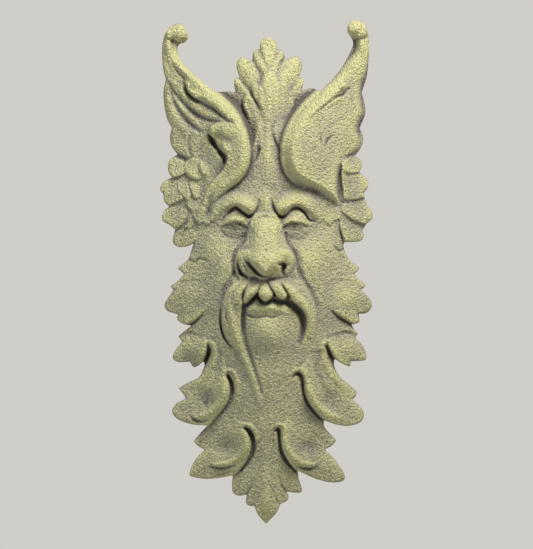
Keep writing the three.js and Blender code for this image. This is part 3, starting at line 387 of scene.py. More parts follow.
# The small leaves at the sides lie like shingles: each rises to its free edge
sideForms = {
    "bedLeft": {"kind": "sheet", "line": [
        [[186, 247], [170, 250], [156, 222], [154, 190], [162, 160], [172, 150]],
        [[188, 150], [200, 154], [222, 168], [222, 180], [206, 195], [200, 215], [194, 245]]],
        "marks": [[176, 242, 11], [188, 242, 13], [163, 217, 11], [175, 229, 12], [162, 189, 11],
                  [168, 165, 12], [178, 156, 14], [195, 165, 23], [212, 172, 31], [203, 190, 28],
                  [196, 210, 25], [194, 228, 21], [182, 205, 18], [183, 185, 19]]},
    "bedRight": {"kind": "sheet", "line": [
        [[360, 248], [370, 230], [380, 217], [372, 200], [376, 186], [366, 160], [354, 152]],
        [[344, 158], [342, 175], [344, 200], [340, 220], [343, 243]]],
        "marks": [[360, 238, 11], [345, 240, 13], [371, 216, 11], [362, 229, 12], [366, 186, 11],
                  [361, 165, 13], [355, 158, 16], [342, 165, 32], [342, 190, 30], [343, 205, 26],
                  [341, 220, 24], [352, 205, 19], [352, 182, 21]]},
    "firstLeft": {"kind": "lift", "edge": 3, "line": [
        [[176, 153], [164, 154], [162, 166], [167, 177], [173, 178.5]], [[180, 176.5], [186, 173]],
        [[185.5, 166], [184, 158]]],
        "marks": [[168, 160, 3], [168, 172, 4], [176, 177, 4.5], [184, 170, 3.5], [180, 158, 0.5]]},
    "firstLeftInner": {"kind": "lift", "edge": 3, "line": [
        [[186, 161], [184.5, 168], [188, 176], [197, 180.5]], [[204, 178], [206, 170], [204, 162],
        [196, 157]]],
        "marks": [[186, 166, 4], [192, 178, 4.5], [203, 176, 1.5], [200, 160, 0.5], [194, 168, 3]]},
    "firstLeftSmall": {"kind": "lift", "edge": 2.5, "line": [
        [[200, 163], [199.5, 169], [203, 175]], [[208, 174], [211, 166], [206, 160]]],
        "marks": [[201, 167, 3], [204, 174, 3], [209, 168, 0.3], [205, 162, 0.5]]},
    "secondLeft": {"kind": "lift", "edge": 3, "line": [
        [[174, 176], [160, 178], [153, 188], [158, 196], [160, 203], [168, 208]], [[176, 203],
        [184.5, 199.5]],
        [[180.5, 191], [180, 181]]],
        "marks": [[160, 187, 4], [163, 200, 3.5], [176, 201, 3.5], [182, 194, 3], [180, 182, 0.5],
                  [172, 180, 0.5], [170, 190, 3]]},
    "secondLeftInner": {"kind": "lift", "edge": 2.5, "line": [
        [[177.5, 187], [181, 194.5], [187.5, 201]], [[191.5, 196], [190, 188], [187, 180], [180, 179]]],
        "marks": [[179, 189, 3.2], [186, 199, 4], [190, 192, 2], [186, 182, 0.5]]},
    "secondLeftThird": {"kind": "lift", "edge": 2.5, "line": [
        [[190, 184], [191, 191.5], [195.5, 200]], [[200, 196], [200, 188], [196, 180]]],
        "marks": [[191, 188, 3], [195, 198, 3.4], [199, 190, 1], [195, 183, 0.3]]},
    "secondLeftLow": {"kind": "lift", "edge": 2.5, "line": [
        [[186, 200.5], [188, 207], [192.5, 212]], [[198, 208], [198, 200], [192, 197]]],
        "marks": [[187, 204, 3], [192, 211, 3.4], [197, 204, 0.5], [190, 199, 1]]},
    "thirdLeft": {"kind": "lift", "edge": 3, "line": [
        [[169, 206.6], [156, 213], [157, 223], [168, 228], [175.5, 230]], [[183, 224.5], [187.5, 217]],
        [[187, 209], [179, 205.5]]],
        "marks": [[162, 216, 4], [170, 226, 4.5], [180, 226, 4.5], [186.5, 217, 3], [182, 207, 0.5],
                  [172, 208, 1.5], [173, 216, 3]]},
    "thirdLeftInner": {"kind": "lift", "edge": 2.5, "line": [
        [[189, 214], [188, 221], [184, 228]], [[191, 228], [196, 222], [195, 214]]],
        "marks": [[188, 220, 2.5], [187, 227, 3], [195, 220, 0.3], [192, 214, 0.5]]},
    "fourthLeft": {"kind": "lift", "edge": 3, "line": [
        [[176, 230], [166, 240], [173, 252], [190, 250], [194, 243]], [[196, 235], [192, 228],
        [186, 226.5]]],
        "marks": [[174, 240, 2.5], [184, 247, 3.5], [193, 242, 3], [192, 229, 0.5], [180, 230, 0.5],
                  [184, 237, 2.2]]},
    "veinsLeft": {"kind": "bead", "rows": [[186, 229, 2, -0.4], [182, 236, 2, -1], [180, 243, 2, -0.6]]},
    "veinSecondLeft": {"kind": "bead", "rows": [[177, 186, 2, -0.4], [170, 188, 2.2, -1],
                                                [164, 190, 2, -0.4]]},
    "veinThirdLeft": {"kind": "bead", "rows": [[180, 212, 2, -0.4], [173, 215, 2.2, -1],
                                               [167, 218, 2, -0.4]]},
    "templeLeft": {"kind": "lift", "edge": 2.5, "line": [
        [[192, 212], [194.5, 219], [199.5, 225]], [[203.5, 222.5], [208, 225.5]], [[213, 218], [208, 206],
        [198, 205]]],
        "marks": [[195, 216, 2.5], [199, 223, 3], [206, 224, 2.4], [210, 214, 0], [200, 206, 0]]},
    "templeRight": {"kind": "lift", "edge": 2.5, "line": [
        [[342, 212], [340, 219]], [[333.5, 221.5], [329, 225], [322, 218]], [[326, 206], [336, 204]]],
        "marks": [[340, 216, 2.4], [334, 221, 2.6], [328, 222, 2], [325, 212, 0], [336, 206, 0]]},
    "firstRight": {"kind": "lift", "edge": 3, "line": [
        [[366, 158], [370, 166], [360, 172.6]], [[351, 174], [343, 172]], [[342, 164], [346, 157],
        [356, 154]]],
        "marks": [[361, 165, 2.6], [352, 172, 3.4], [344, 171, 2.6], [347, 159, 0.3], [356, 158, 0.5]]},
    "secondRight": {"kind": "lift", "edge": 3, "line": [
        [[366, 174], [376, 186], [370, 196], [361, 198.5]], [[352, 200.5], [343, 199]],
        [[342, 190], [343, 180], [350, 174.5]]],
        "marks": [[367, 186, 3.6], [359, 197, 3.6], [346, 199, 2.6], [344, 186, 0.3], [350, 176, 0.3],
                  [355, 186, 2.4]]},
    "thirdRight": {"kind": "lift", "edge": 3, "line": [
        [[372, 200], [382, 215], [374, 226], [365, 225]], [[353, 220.5], [341, 211.5]],
        [[342, 205], [351, 201.5]]],
        "marks": [[371, 214, 3.6], [364, 223, 4], [351, 219, 3.6], [342, 211, 2.4], [348, 204, 0.3],
                  [361, 201, 0.3], [358, 211, 2.4]]},
    "fourthRight": {"kind": "lift", "edge": 3, "line": [
        [[366, 230], [372, 240], [361, 250], [344, 250]], [[342.5, 240], [339.5, 228]],
        [[341, 217], [350, 222.5], [360, 227]]],
        "marks": [[361, 238, 3], [350, 243, 4], [343, 239, 4.5], [340.5, 228, 3], [343, 220, 0.5],
                  [352, 225, 0.3], [353, 234, 2.4]]},
    "shadeFourthRight": {"kind": "bead", "rows": [[339, 226, 2.4, -1], [341, 235, 3, -3],
                                                  [344, 242, 3, -3]]},
    "veinRightUpper": {"kind": "bead", "rows": [[341, 202, 1.8, -0.8], [345, 203, 2, -1.6],
                                                [349, 202.5, 1.8, -0.8]]},
    "veinRightMiddle": {"kind": "bead", "rows": [[356, 193, 1.8, -0.6], [353, 197, 2, -1.2],
                                                 [351, 202, 1.8, -0.6]]},
}
carve(sideForms)

# The crown: a leaf of three tiers, whose lobes fan out upwards
crownForms = {
    "leaf": {"kind": "sheet", "line": [
        [[230, 85], [230, 78], [230, 62], [238, 50], [250, 44], [256, 38], [268, 28], [281, 38], [288, 45],
         [301, 50], [309, 63], [308, 83], [305, 93]],
        [[297, 105], [290, 118], [284, 135], [275, 150], [262, 150], [252, 135], [247, 115], [240, 104],
         [232, 94]]],
        "edge": 3, "drop": 1, "blend": 3,
        "marks": [[268, 42, 17], [242, 65, 15], [296, 65, 15], [256, 54, 16], [281, 54, 16], [268, 62, 24],
                  [268, 85, 32], [238, 88, 17], [299, 88, 17], [252, 75, 23], [284, 75, 23], [268, 112, 36],
                  [247, 100, 24], [291, 102, 24], [256, 125, 32], [284, 122, 31], [268, 148, 37]]},
    "topLobe": {"kind": "lift", "edge": 4, "line": [
        [[257, 46], [262, 30], [275, 30], [280, 46], [277, 54]], [[274, 61], [268, 66], [262, 60],
        [259, 52]]],
        "marks": [[260, 50, 3], [277, 50, 3], [268, 40, 2.6], [268, 58, 2.6], [268, 66, 0.5],
                  [263, 60, 2]]},
    "budLeft": {"kind": "bead", "rows": [[255, 54, 5, 1.4], [259, 62, 6, 1.8], [263, 70, 5, 1]]},
    "budRight": {"kind": "bead", "rows": [[283, 54, 5, 1.4], [278, 62, 6, 1.6], [274, 70, 5, 1]]},
    "lobeLeft": {"kind": "bead", "rows": [[243, 64, 11, 3], [247, 72, 11, 3.4], [252, 82, 9, 2],
                                          [257, 90, 7, 1]]},
    "lobeRight": {"kind": "bead", "rows": [[294, 64, 11, 3], [290, 73, 11, 3.4], [284, 83, 9, 2.4],
                                           [279, 90, 7, 1]]},
    "partTopLeft": {"kind": "bead", "rows": [[252, 58, 2.6, -1.4], [256, 66, 3.6, -2.2],
                                             [260, 75, 5.5, -3.2],
                                             [259, 85, 6, -3], [253, 93, 4, -1]]},
    "partTopRight": {"kind": "bead", "rows": [[285, 56, 2.2, -2.4], [281.6, 62, 2.6, -3.2],
                                              [279, 68, 3, -1.6],
                                              [278, 77, 3, -0.8]]},
    "partBudLeft": {"kind": "bead", "rows": [[259, 48, 2, -1.4], [262, 55, 2.4, -1.8], [264, 62, 2, -0.8]]},
    "partBudRight": {"kind": "bead", "rows": [[278, 48, 2, -1.4], [275, 55, 2.4, -1.8],
                                              [273, 62, 2, -0.8]]},
    "toothLeft": {"kind": "bead", "rows": [[237, 83, 7, 2.4], [243, 90, 7, 2], [250, 99, 6, 0.8]]},
    "toothRight": {"kind": "bead", "rows": [[301, 84, 7, 2.4], [295, 92, 7, 2], [289, 100, 6, 0.8]]},
    "partToothLeft": {"kind": "bead", "rows": [[237, 77, 2.2, -1], [243, 83, 2.6, -1.6], [249, 91, 3.4, -2],
                                               [252, 97, 3, -1]]},
    "partToothRight": {"kind": "bead", "rows": [[300, 78, 2.2, -1], [294, 85, 2.6, -1.4],
                                                [289, 93, 3, -1.2]]},
    "middleLobe": {"kind": "lift", "edge": 6, "line": [
        [[260, 112], [258.5, 98], [259.5, 84], [264, 75], [269, 71.5], [275, 75], [279.5, 84], [280.5, 98],
         [278.5, 112], [272, 124], [265, 124]]],
        "marks": [[269, 74, 2], [260, 90, 2.6], [279, 90, 2.6], [269, 95, 4.4], [262, 112, 1.6],
                  [277, 112, 1],
                  [269, 122, 0]]},
    "middleVein": {"kind": "bead", "rows": [[274, 92, 2, -0.4], [273, 102, 2.4, -1], [272, 114, 2.4, -1]]},
    "innerLeft": {"kind": "lift", "edge": 4, "line": [
        [[263, 111], [257, 103], [253, 96], [252, 89]], [[255, 85], [260, 86], [263, 93], [265, 104]]],
        "marks": [[253, 92, 3.4], [256, 86, 2.6], [258, 102, 3.6], [263, 110, 1.4], [263, 95, 1.6]]},
    "innerLeftShade": {"kind": "bead", "rows": [[250, 87, 2.4, -1], [252, 95, 2.6, -2.4],
                                                [256.5, 103, 2.6, -2.2],
                                                [261.5, 111, 2.2, -1]]},
    "innerRight": {"kind": "lift", "edge": 3.5, "line": [
        [[280, 110], [279, 98], [280, 87], [283, 82]], [[287, 86], [288, 95], [286, 105], [283, 112]]],
        "marks": [[283, 84, 1.6], [287, 92, 1.6], [285, 104, 1.2], [281, 109, 0.3], [282, 96, 1.2]]},
    "outerLeft": {"kind": "lift", "edge": 4, "line": [
        [[246, 116], [243.5, 108], [242.8, 100]], [[246, 96], [252, 97], [256, 104], [259, 114],
        [262, 126]],
        [[257, 132], [250, 126]]],
        "marks": [[243, 102, 3.6], [246, 97, 3], [245, 112, 3.4], [252, 99, 2], [257, 112, 0.6],
                  [260, 126, 0.2], [252, 124, 0.8], [250, 108, 2.6]]},
    "outerLeftShade": {"kind": "bead", "rows": [[241.5, 100, 2.2, -1], [242, 107, 2.4, -2.6],
                                                [244.6, 114, 2.4, -2.2],
                                                [247, 120, 2.4, -0.8]]},
    "outerRight": {"kind": "lift", "edge": 3, "line": [
        [[284, 120], [284, 108], [288, 99]], [[292.5, 98], [294.5, 104], [293, 112], [288, 124]]],
        "marks": [[290, 100, 2.4], [294, 106, 2.4], [290, 118, 1], [285, 116, 0.4], [286, 106, 0.8]]},
    "outerRightShade": {"kind": "bead", "rows": [[296, 100, 2.2, -1.6], [294.6, 106, 2.2, -2.4],
                                                 [291.5, 113, 2.2, -1.4]]},
    "stemLeft": {"kind": "bead", "rows": [[256, 112, 5, 0.6], [259, 122, 4.5, 1.4], [260, 133, 4, 2],
                                          [261, 146, 4, 1]]},
    "hollowLeft": {"kind": "bead", "rows": [[249, 120, 5, -1], [252, 129, 6.5, -3], [251.5, 139, 6, -3.2],
                                            [250, 149, 4, -1.6], [250.5, 160, 3, -0.8]]},
    "voluteLeft": {"kind": "bead", "rows": [[257, 132, 2.6, 1], [255.5, 142, 3, 2.4], [253, 151, 3, 2],
                                            [253, 159, 3, 1]]},
    "eyeLeft": {"kind": "bead", "rows": [[259.4, 147, 2.2, -1.6], [258.6, 151, 2.6, -4],
                                         [257.6, 156, 2.4, -3],
                                         [255.5, 162, 2.2, -1]]},
    "centreRidge": {"kind": "ridge", "rows": [[268, 120, 6, 6, 1], [268, 140, 7, 7, 2.6],
                                              [268, 160, 8, 8, 3],
                                              [268, 180, 9, 9, 1.6]]},
    "leafRight": {"kind": "lift", "edge": 3.5, "line": [
        [[279, 120.5], [274, 125], [272.5, 132], [275, 140], [279.5, 149], [284, 155]],
        [[290, 142], [291, 130], [288, 121], [284, 119]]],
        "marks": [[274, 128, 1.8], [276, 141, 2.2], [283, 152, 1.6], [289, 132, 0.6], [284, 121, 0.6],
                  [281, 132, 2]]},
    "leafRightShade": {"kind": "bead", "rows": [[276, 122, 2.4, -0.6], [272, 129, 2.6, -1.2],
                                                [274, 138, 2.2, -1.4],
                                                [276.5, 145, 1.9, -1.8], [280.5, 152, 1.9, -1.2]]},
}
carve(crownForms)


hornForms = {
    # the scrolled tips
    "scrollLeft": {"kind": "body", "rows": [[171, 33, 7, 28], [179, 33, 7.5, 31]], "crown": 7, "blend": 3},
    "hookLeft": {"kind": "ridge", "rows": [[180, 41, 3, 3, 1], [174, 38, 3, 3, -2], [172, 45, 3, 3, -2.4],
                                           [174, 54, 3, 3, -1]]},
    "spineLeft": {"kind": "ridge", "rows": [[167, 32, 4, 4, 2], [168, 46, 5, 5, 3], [172, 60, 5, 6, 3],
                                            [184, 72, 5, 7, 3], [198, 85, 6, 6, 2]]},
    "scrollRight": {"kind": "body", "rows": [[361, 31, 7, 28], [354, 29, 7, 31]], "crown": 7, "blend": 3},
    "hookRight": {"kind": "bead", "rows": [[351, 36, 2.5, -1], [357, 35, 2.6, -3], [361, 29, 2.4, -2]]},
    "spineRight": {"kind": "ridge", "rows": [[363, 36, 4, 4, 1], [359, 50, 5, 5, 2], [351, 63, 6, 5, 2],
                                             [338, 79, 7, 5, 2], [324, 93, 7, 5, 1]]},
    # the rolled edge of the left leaf
    "rollLeft": {"kind": "lift", "edge": 3.2, "line": [
        [[185, 76], [185.5, 84]],
        [[188, 92], [194, 98.5], [200.5, 100.5]],
        [[207, 103], [215, 108], [222, 114], [228, 120.5]],
        [[236, 122], [240, 110], [215, 80], [195, 66], [186, 68]]],
        "marks": [[186, 82, 3], [190, 94, 6], [200, 100, 5], [214, 108, 4.5], [226, 119, 3.5],
                  [195, 82, 2], [212, 95, 1.5], [230, 110, 0.5], [238, 118, 0], [200, 75, 0]]},
    "rollShadeLeft": {"kind": "ridge", "rows": [[185, 84, 1.5, 4, -1.5], [188, 93, 1.5, 5, -5],
                                                [196, 100, 1.5, 4, -5], [203, 103.5, 1.5, 4, -3],
                                                [213, 109, 1.5, 4, -3.5], [222, 116, 1.5, 4, -3.5],
                                                [228, 121, 1.5, 3, -1.5]]},
    "notchLeft": {"kind": "bead", "rows": [[199, 99, 2, -1.5], [203, 100, 2, -2], [207, 101, 2, -1]]},
    # the curled tongues over the deep hollow of the left wing
    "hollowLeft": {"kind": "lift", "edge": 4, "line": [
        [[208, 134], [207, 143], [212, 151], [219, 158], [226, 161]],
        [[226, 152], [222, 141], [216, 133]]],
        "marks": [[210, 140, -1], [218, 150, -1], [222, 156, -1], [214, 136, -1]]},
    "tongueLeft": {"kind": "body", "rows": [[215, 130.5, 5.5, 44], [223, 128.5, 6.5, 49],
                                            [231, 132, 8, 53]],
                   "crown": 6, "blend": 4, "fall": 4},
    "tongueTipLeft": {"kind": "body", "rows": [[213, 133, 3.6, 42], [215, 137, 2.6, 40]],
                                               "crown": 3, "blend": 2,
                      "fall": 4},
    "fingerLeft": {"kind": "body", "rows": [[220, 142, 3.4, 42], [225, 143.5, 4.6, 47], [229, 150, 5, 50]],
                   "crown": 4, "blend": 3, "fall": 4},
    "pitUpperLeft": {"kind": "bead", "rows": [[210, 136, 3.5, -5], [213, 142, 4.4, -12],
                                              [216, 147, 3.6, -9]]},
    "pitLowerLeft": {"kind": "bead", "rows": [[218, 149, 3, -7], [221, 153.5, 4, -11], [225, 158, 3.4, -7],
                                              [225, 163, 3, -3]]},
    "sideLeft": {"kind": "ridge", "rows": [[226, 160, 2, 9, -6], [223, 169, 2, 10, -5],
                                           [214, 179, 2, 10, -4],
                                           [206, 190, 2, 9, -3], [202, 204, 2, 7, -2]]},
    "insideLeft": {"kind": "ridge", "rows": [[216, 188, 5, 6, -1], [211, 198, 5, 7, -3],
                                             [209, 209, 5, 7, -4],
                                             [207, 219, 4, 6, -2]]},
    # the rolled strips and slits of the right wing
    "stripRight": {"kind": "ridge", "rows": [[343, 86, 5, 4, 5], [337, 92, 5, 4, 4.5], [329, 99, 6, 4, 3.6],
                                             [320, 107, 6, 4, 3], [311, 116, 5, 4, 2]]},
    "stripBallRight": {"kind": "swell", "place": [343, 87], "size": [4.4, 4.4], "amount": 3.2},
    "stripShadeRight": {"kind": "ridge", "rows": [[348, 89, 3.5, 1.5, -2.6], [342, 95, 3.5, 1.5, -3],
                                                  [336, 97.5, 3.5, 1.5, -2.6], [329, 103, 3.5, 1.5, -2.4],
                                                  [320, 110, 3.5, 1.5, -2.2], [311, 118.5, 3, 1.5, -1.4]]},
    "stripTipRight": {"kind": "bead", "rows": [[339, 99, 2.6, 2.4], [333, 103, 2.6, 1.6],
                                               [326, 108, 2.6, 1]]},
    "slitFirst": {"kind": "bead", "rows": [[321.5, 136, 1.8, -1.4], [320.5, 140, 2, -2.4],
                                           [321, 144, 1.8, -1.4]]},
    "slitSecond": {"kind": "bead", "rows": [[332, 136.5, 1.8, -1.2], [327.5, 140, 2.2, -3],
                                            [325, 146.5, 2, -2]]},
    "lineRight": {"kind": "bead", "rows": [[309, 155, 1.8, -0.8], [314, 150, 2, -1.8],
                                           [318, 145, 1.8, -1]]},
}
carve(hornForms)

# Feathers, as shallow steps from one to the next
featherForms = {
    "firstLeft": {"kind": "ridge", "rows": [[169, 56, 5, 2, -1], [174, 67, 5, 2, -2.2],
                                            [181, 76, 5, 2, -2.4],
                                            [190, 82, 4, 2, -1]]},
    "secondLeft": {"kind": "ridge", "rows": [[167, 79, 2, 5, -1], [173, 90, 2, 6, -2.4],
                                             [182, 101, 2, 6, -2.8],
                                             [194, 112, 2, 6, -2.8], [206, 119, 2, 5, -2.4],
                                             [221, 123, 2, 4, -1.2]]},
    "secondLeftRidge": {"kind": "bead", "rows": [[175, 82, 4, 1], [186, 98, 5, 2], [200, 111, 5, 2],
                                                 [214, 118, 4, 1]]},
    "thirdLeft": {"kind": "ridge", "rows": [[170, 92, 2, 5, -0.8], [176, 104, 2, 6, -2],
                                            [184, 116, 2, 6, -2.4],
                                            [195, 127, 2, 6, -2.2], [203, 133, 2, 5, -1.2]]},
    "thirdLeftRidge": {"kind": "bead", "rows": [[172, 84, 4, 0.8], [180, 104, 5, 1.6], [192, 120, 5, 1.6],
                                                [203, 128, 4, 0.8]]},
    "fourthLeftRidge": {"kind": "bead", "rows": [[168, 100, 5, 1], [176, 120, 6, 1.6], [188, 134, 6, 1.2]]},
    "uprightLeft": {"kind": "ridge", "rows": [[190, 136, 4, 2, -1], [188, 145, 4, 2, -2.4],
                                              [191, 158, 4, 2, -1.4]]},
    "underLeft": {"kind": "ridge", "rows": [[170, 147, 2, 5, -1], [176, 153, 2, 5, -2.6],
                                            [188, 159, 2, 5, -2]]},
    "firstRight": {"kind": "ridge", "rows": [[361, 57, 2, 5, -1], [356, 66, 2, 5, -1.8],
                                             [347, 76, 2, 5, -1]]},
    "secondRight": {"kind": "ridge", "rows": [[343, 119, 2, 5, -0.6], [337, 124, 2, 5, -1.4],
                                              [331, 128, 2, 5, -0.6]]},
    "underRight": {"kind": "ridge", "rows": [[360, 150, 4, 2, -0.8], [352, 154, 4, 2, -1.8],
                                             [341, 158, 4, 2, -1]]},
}
carve(featherForms)


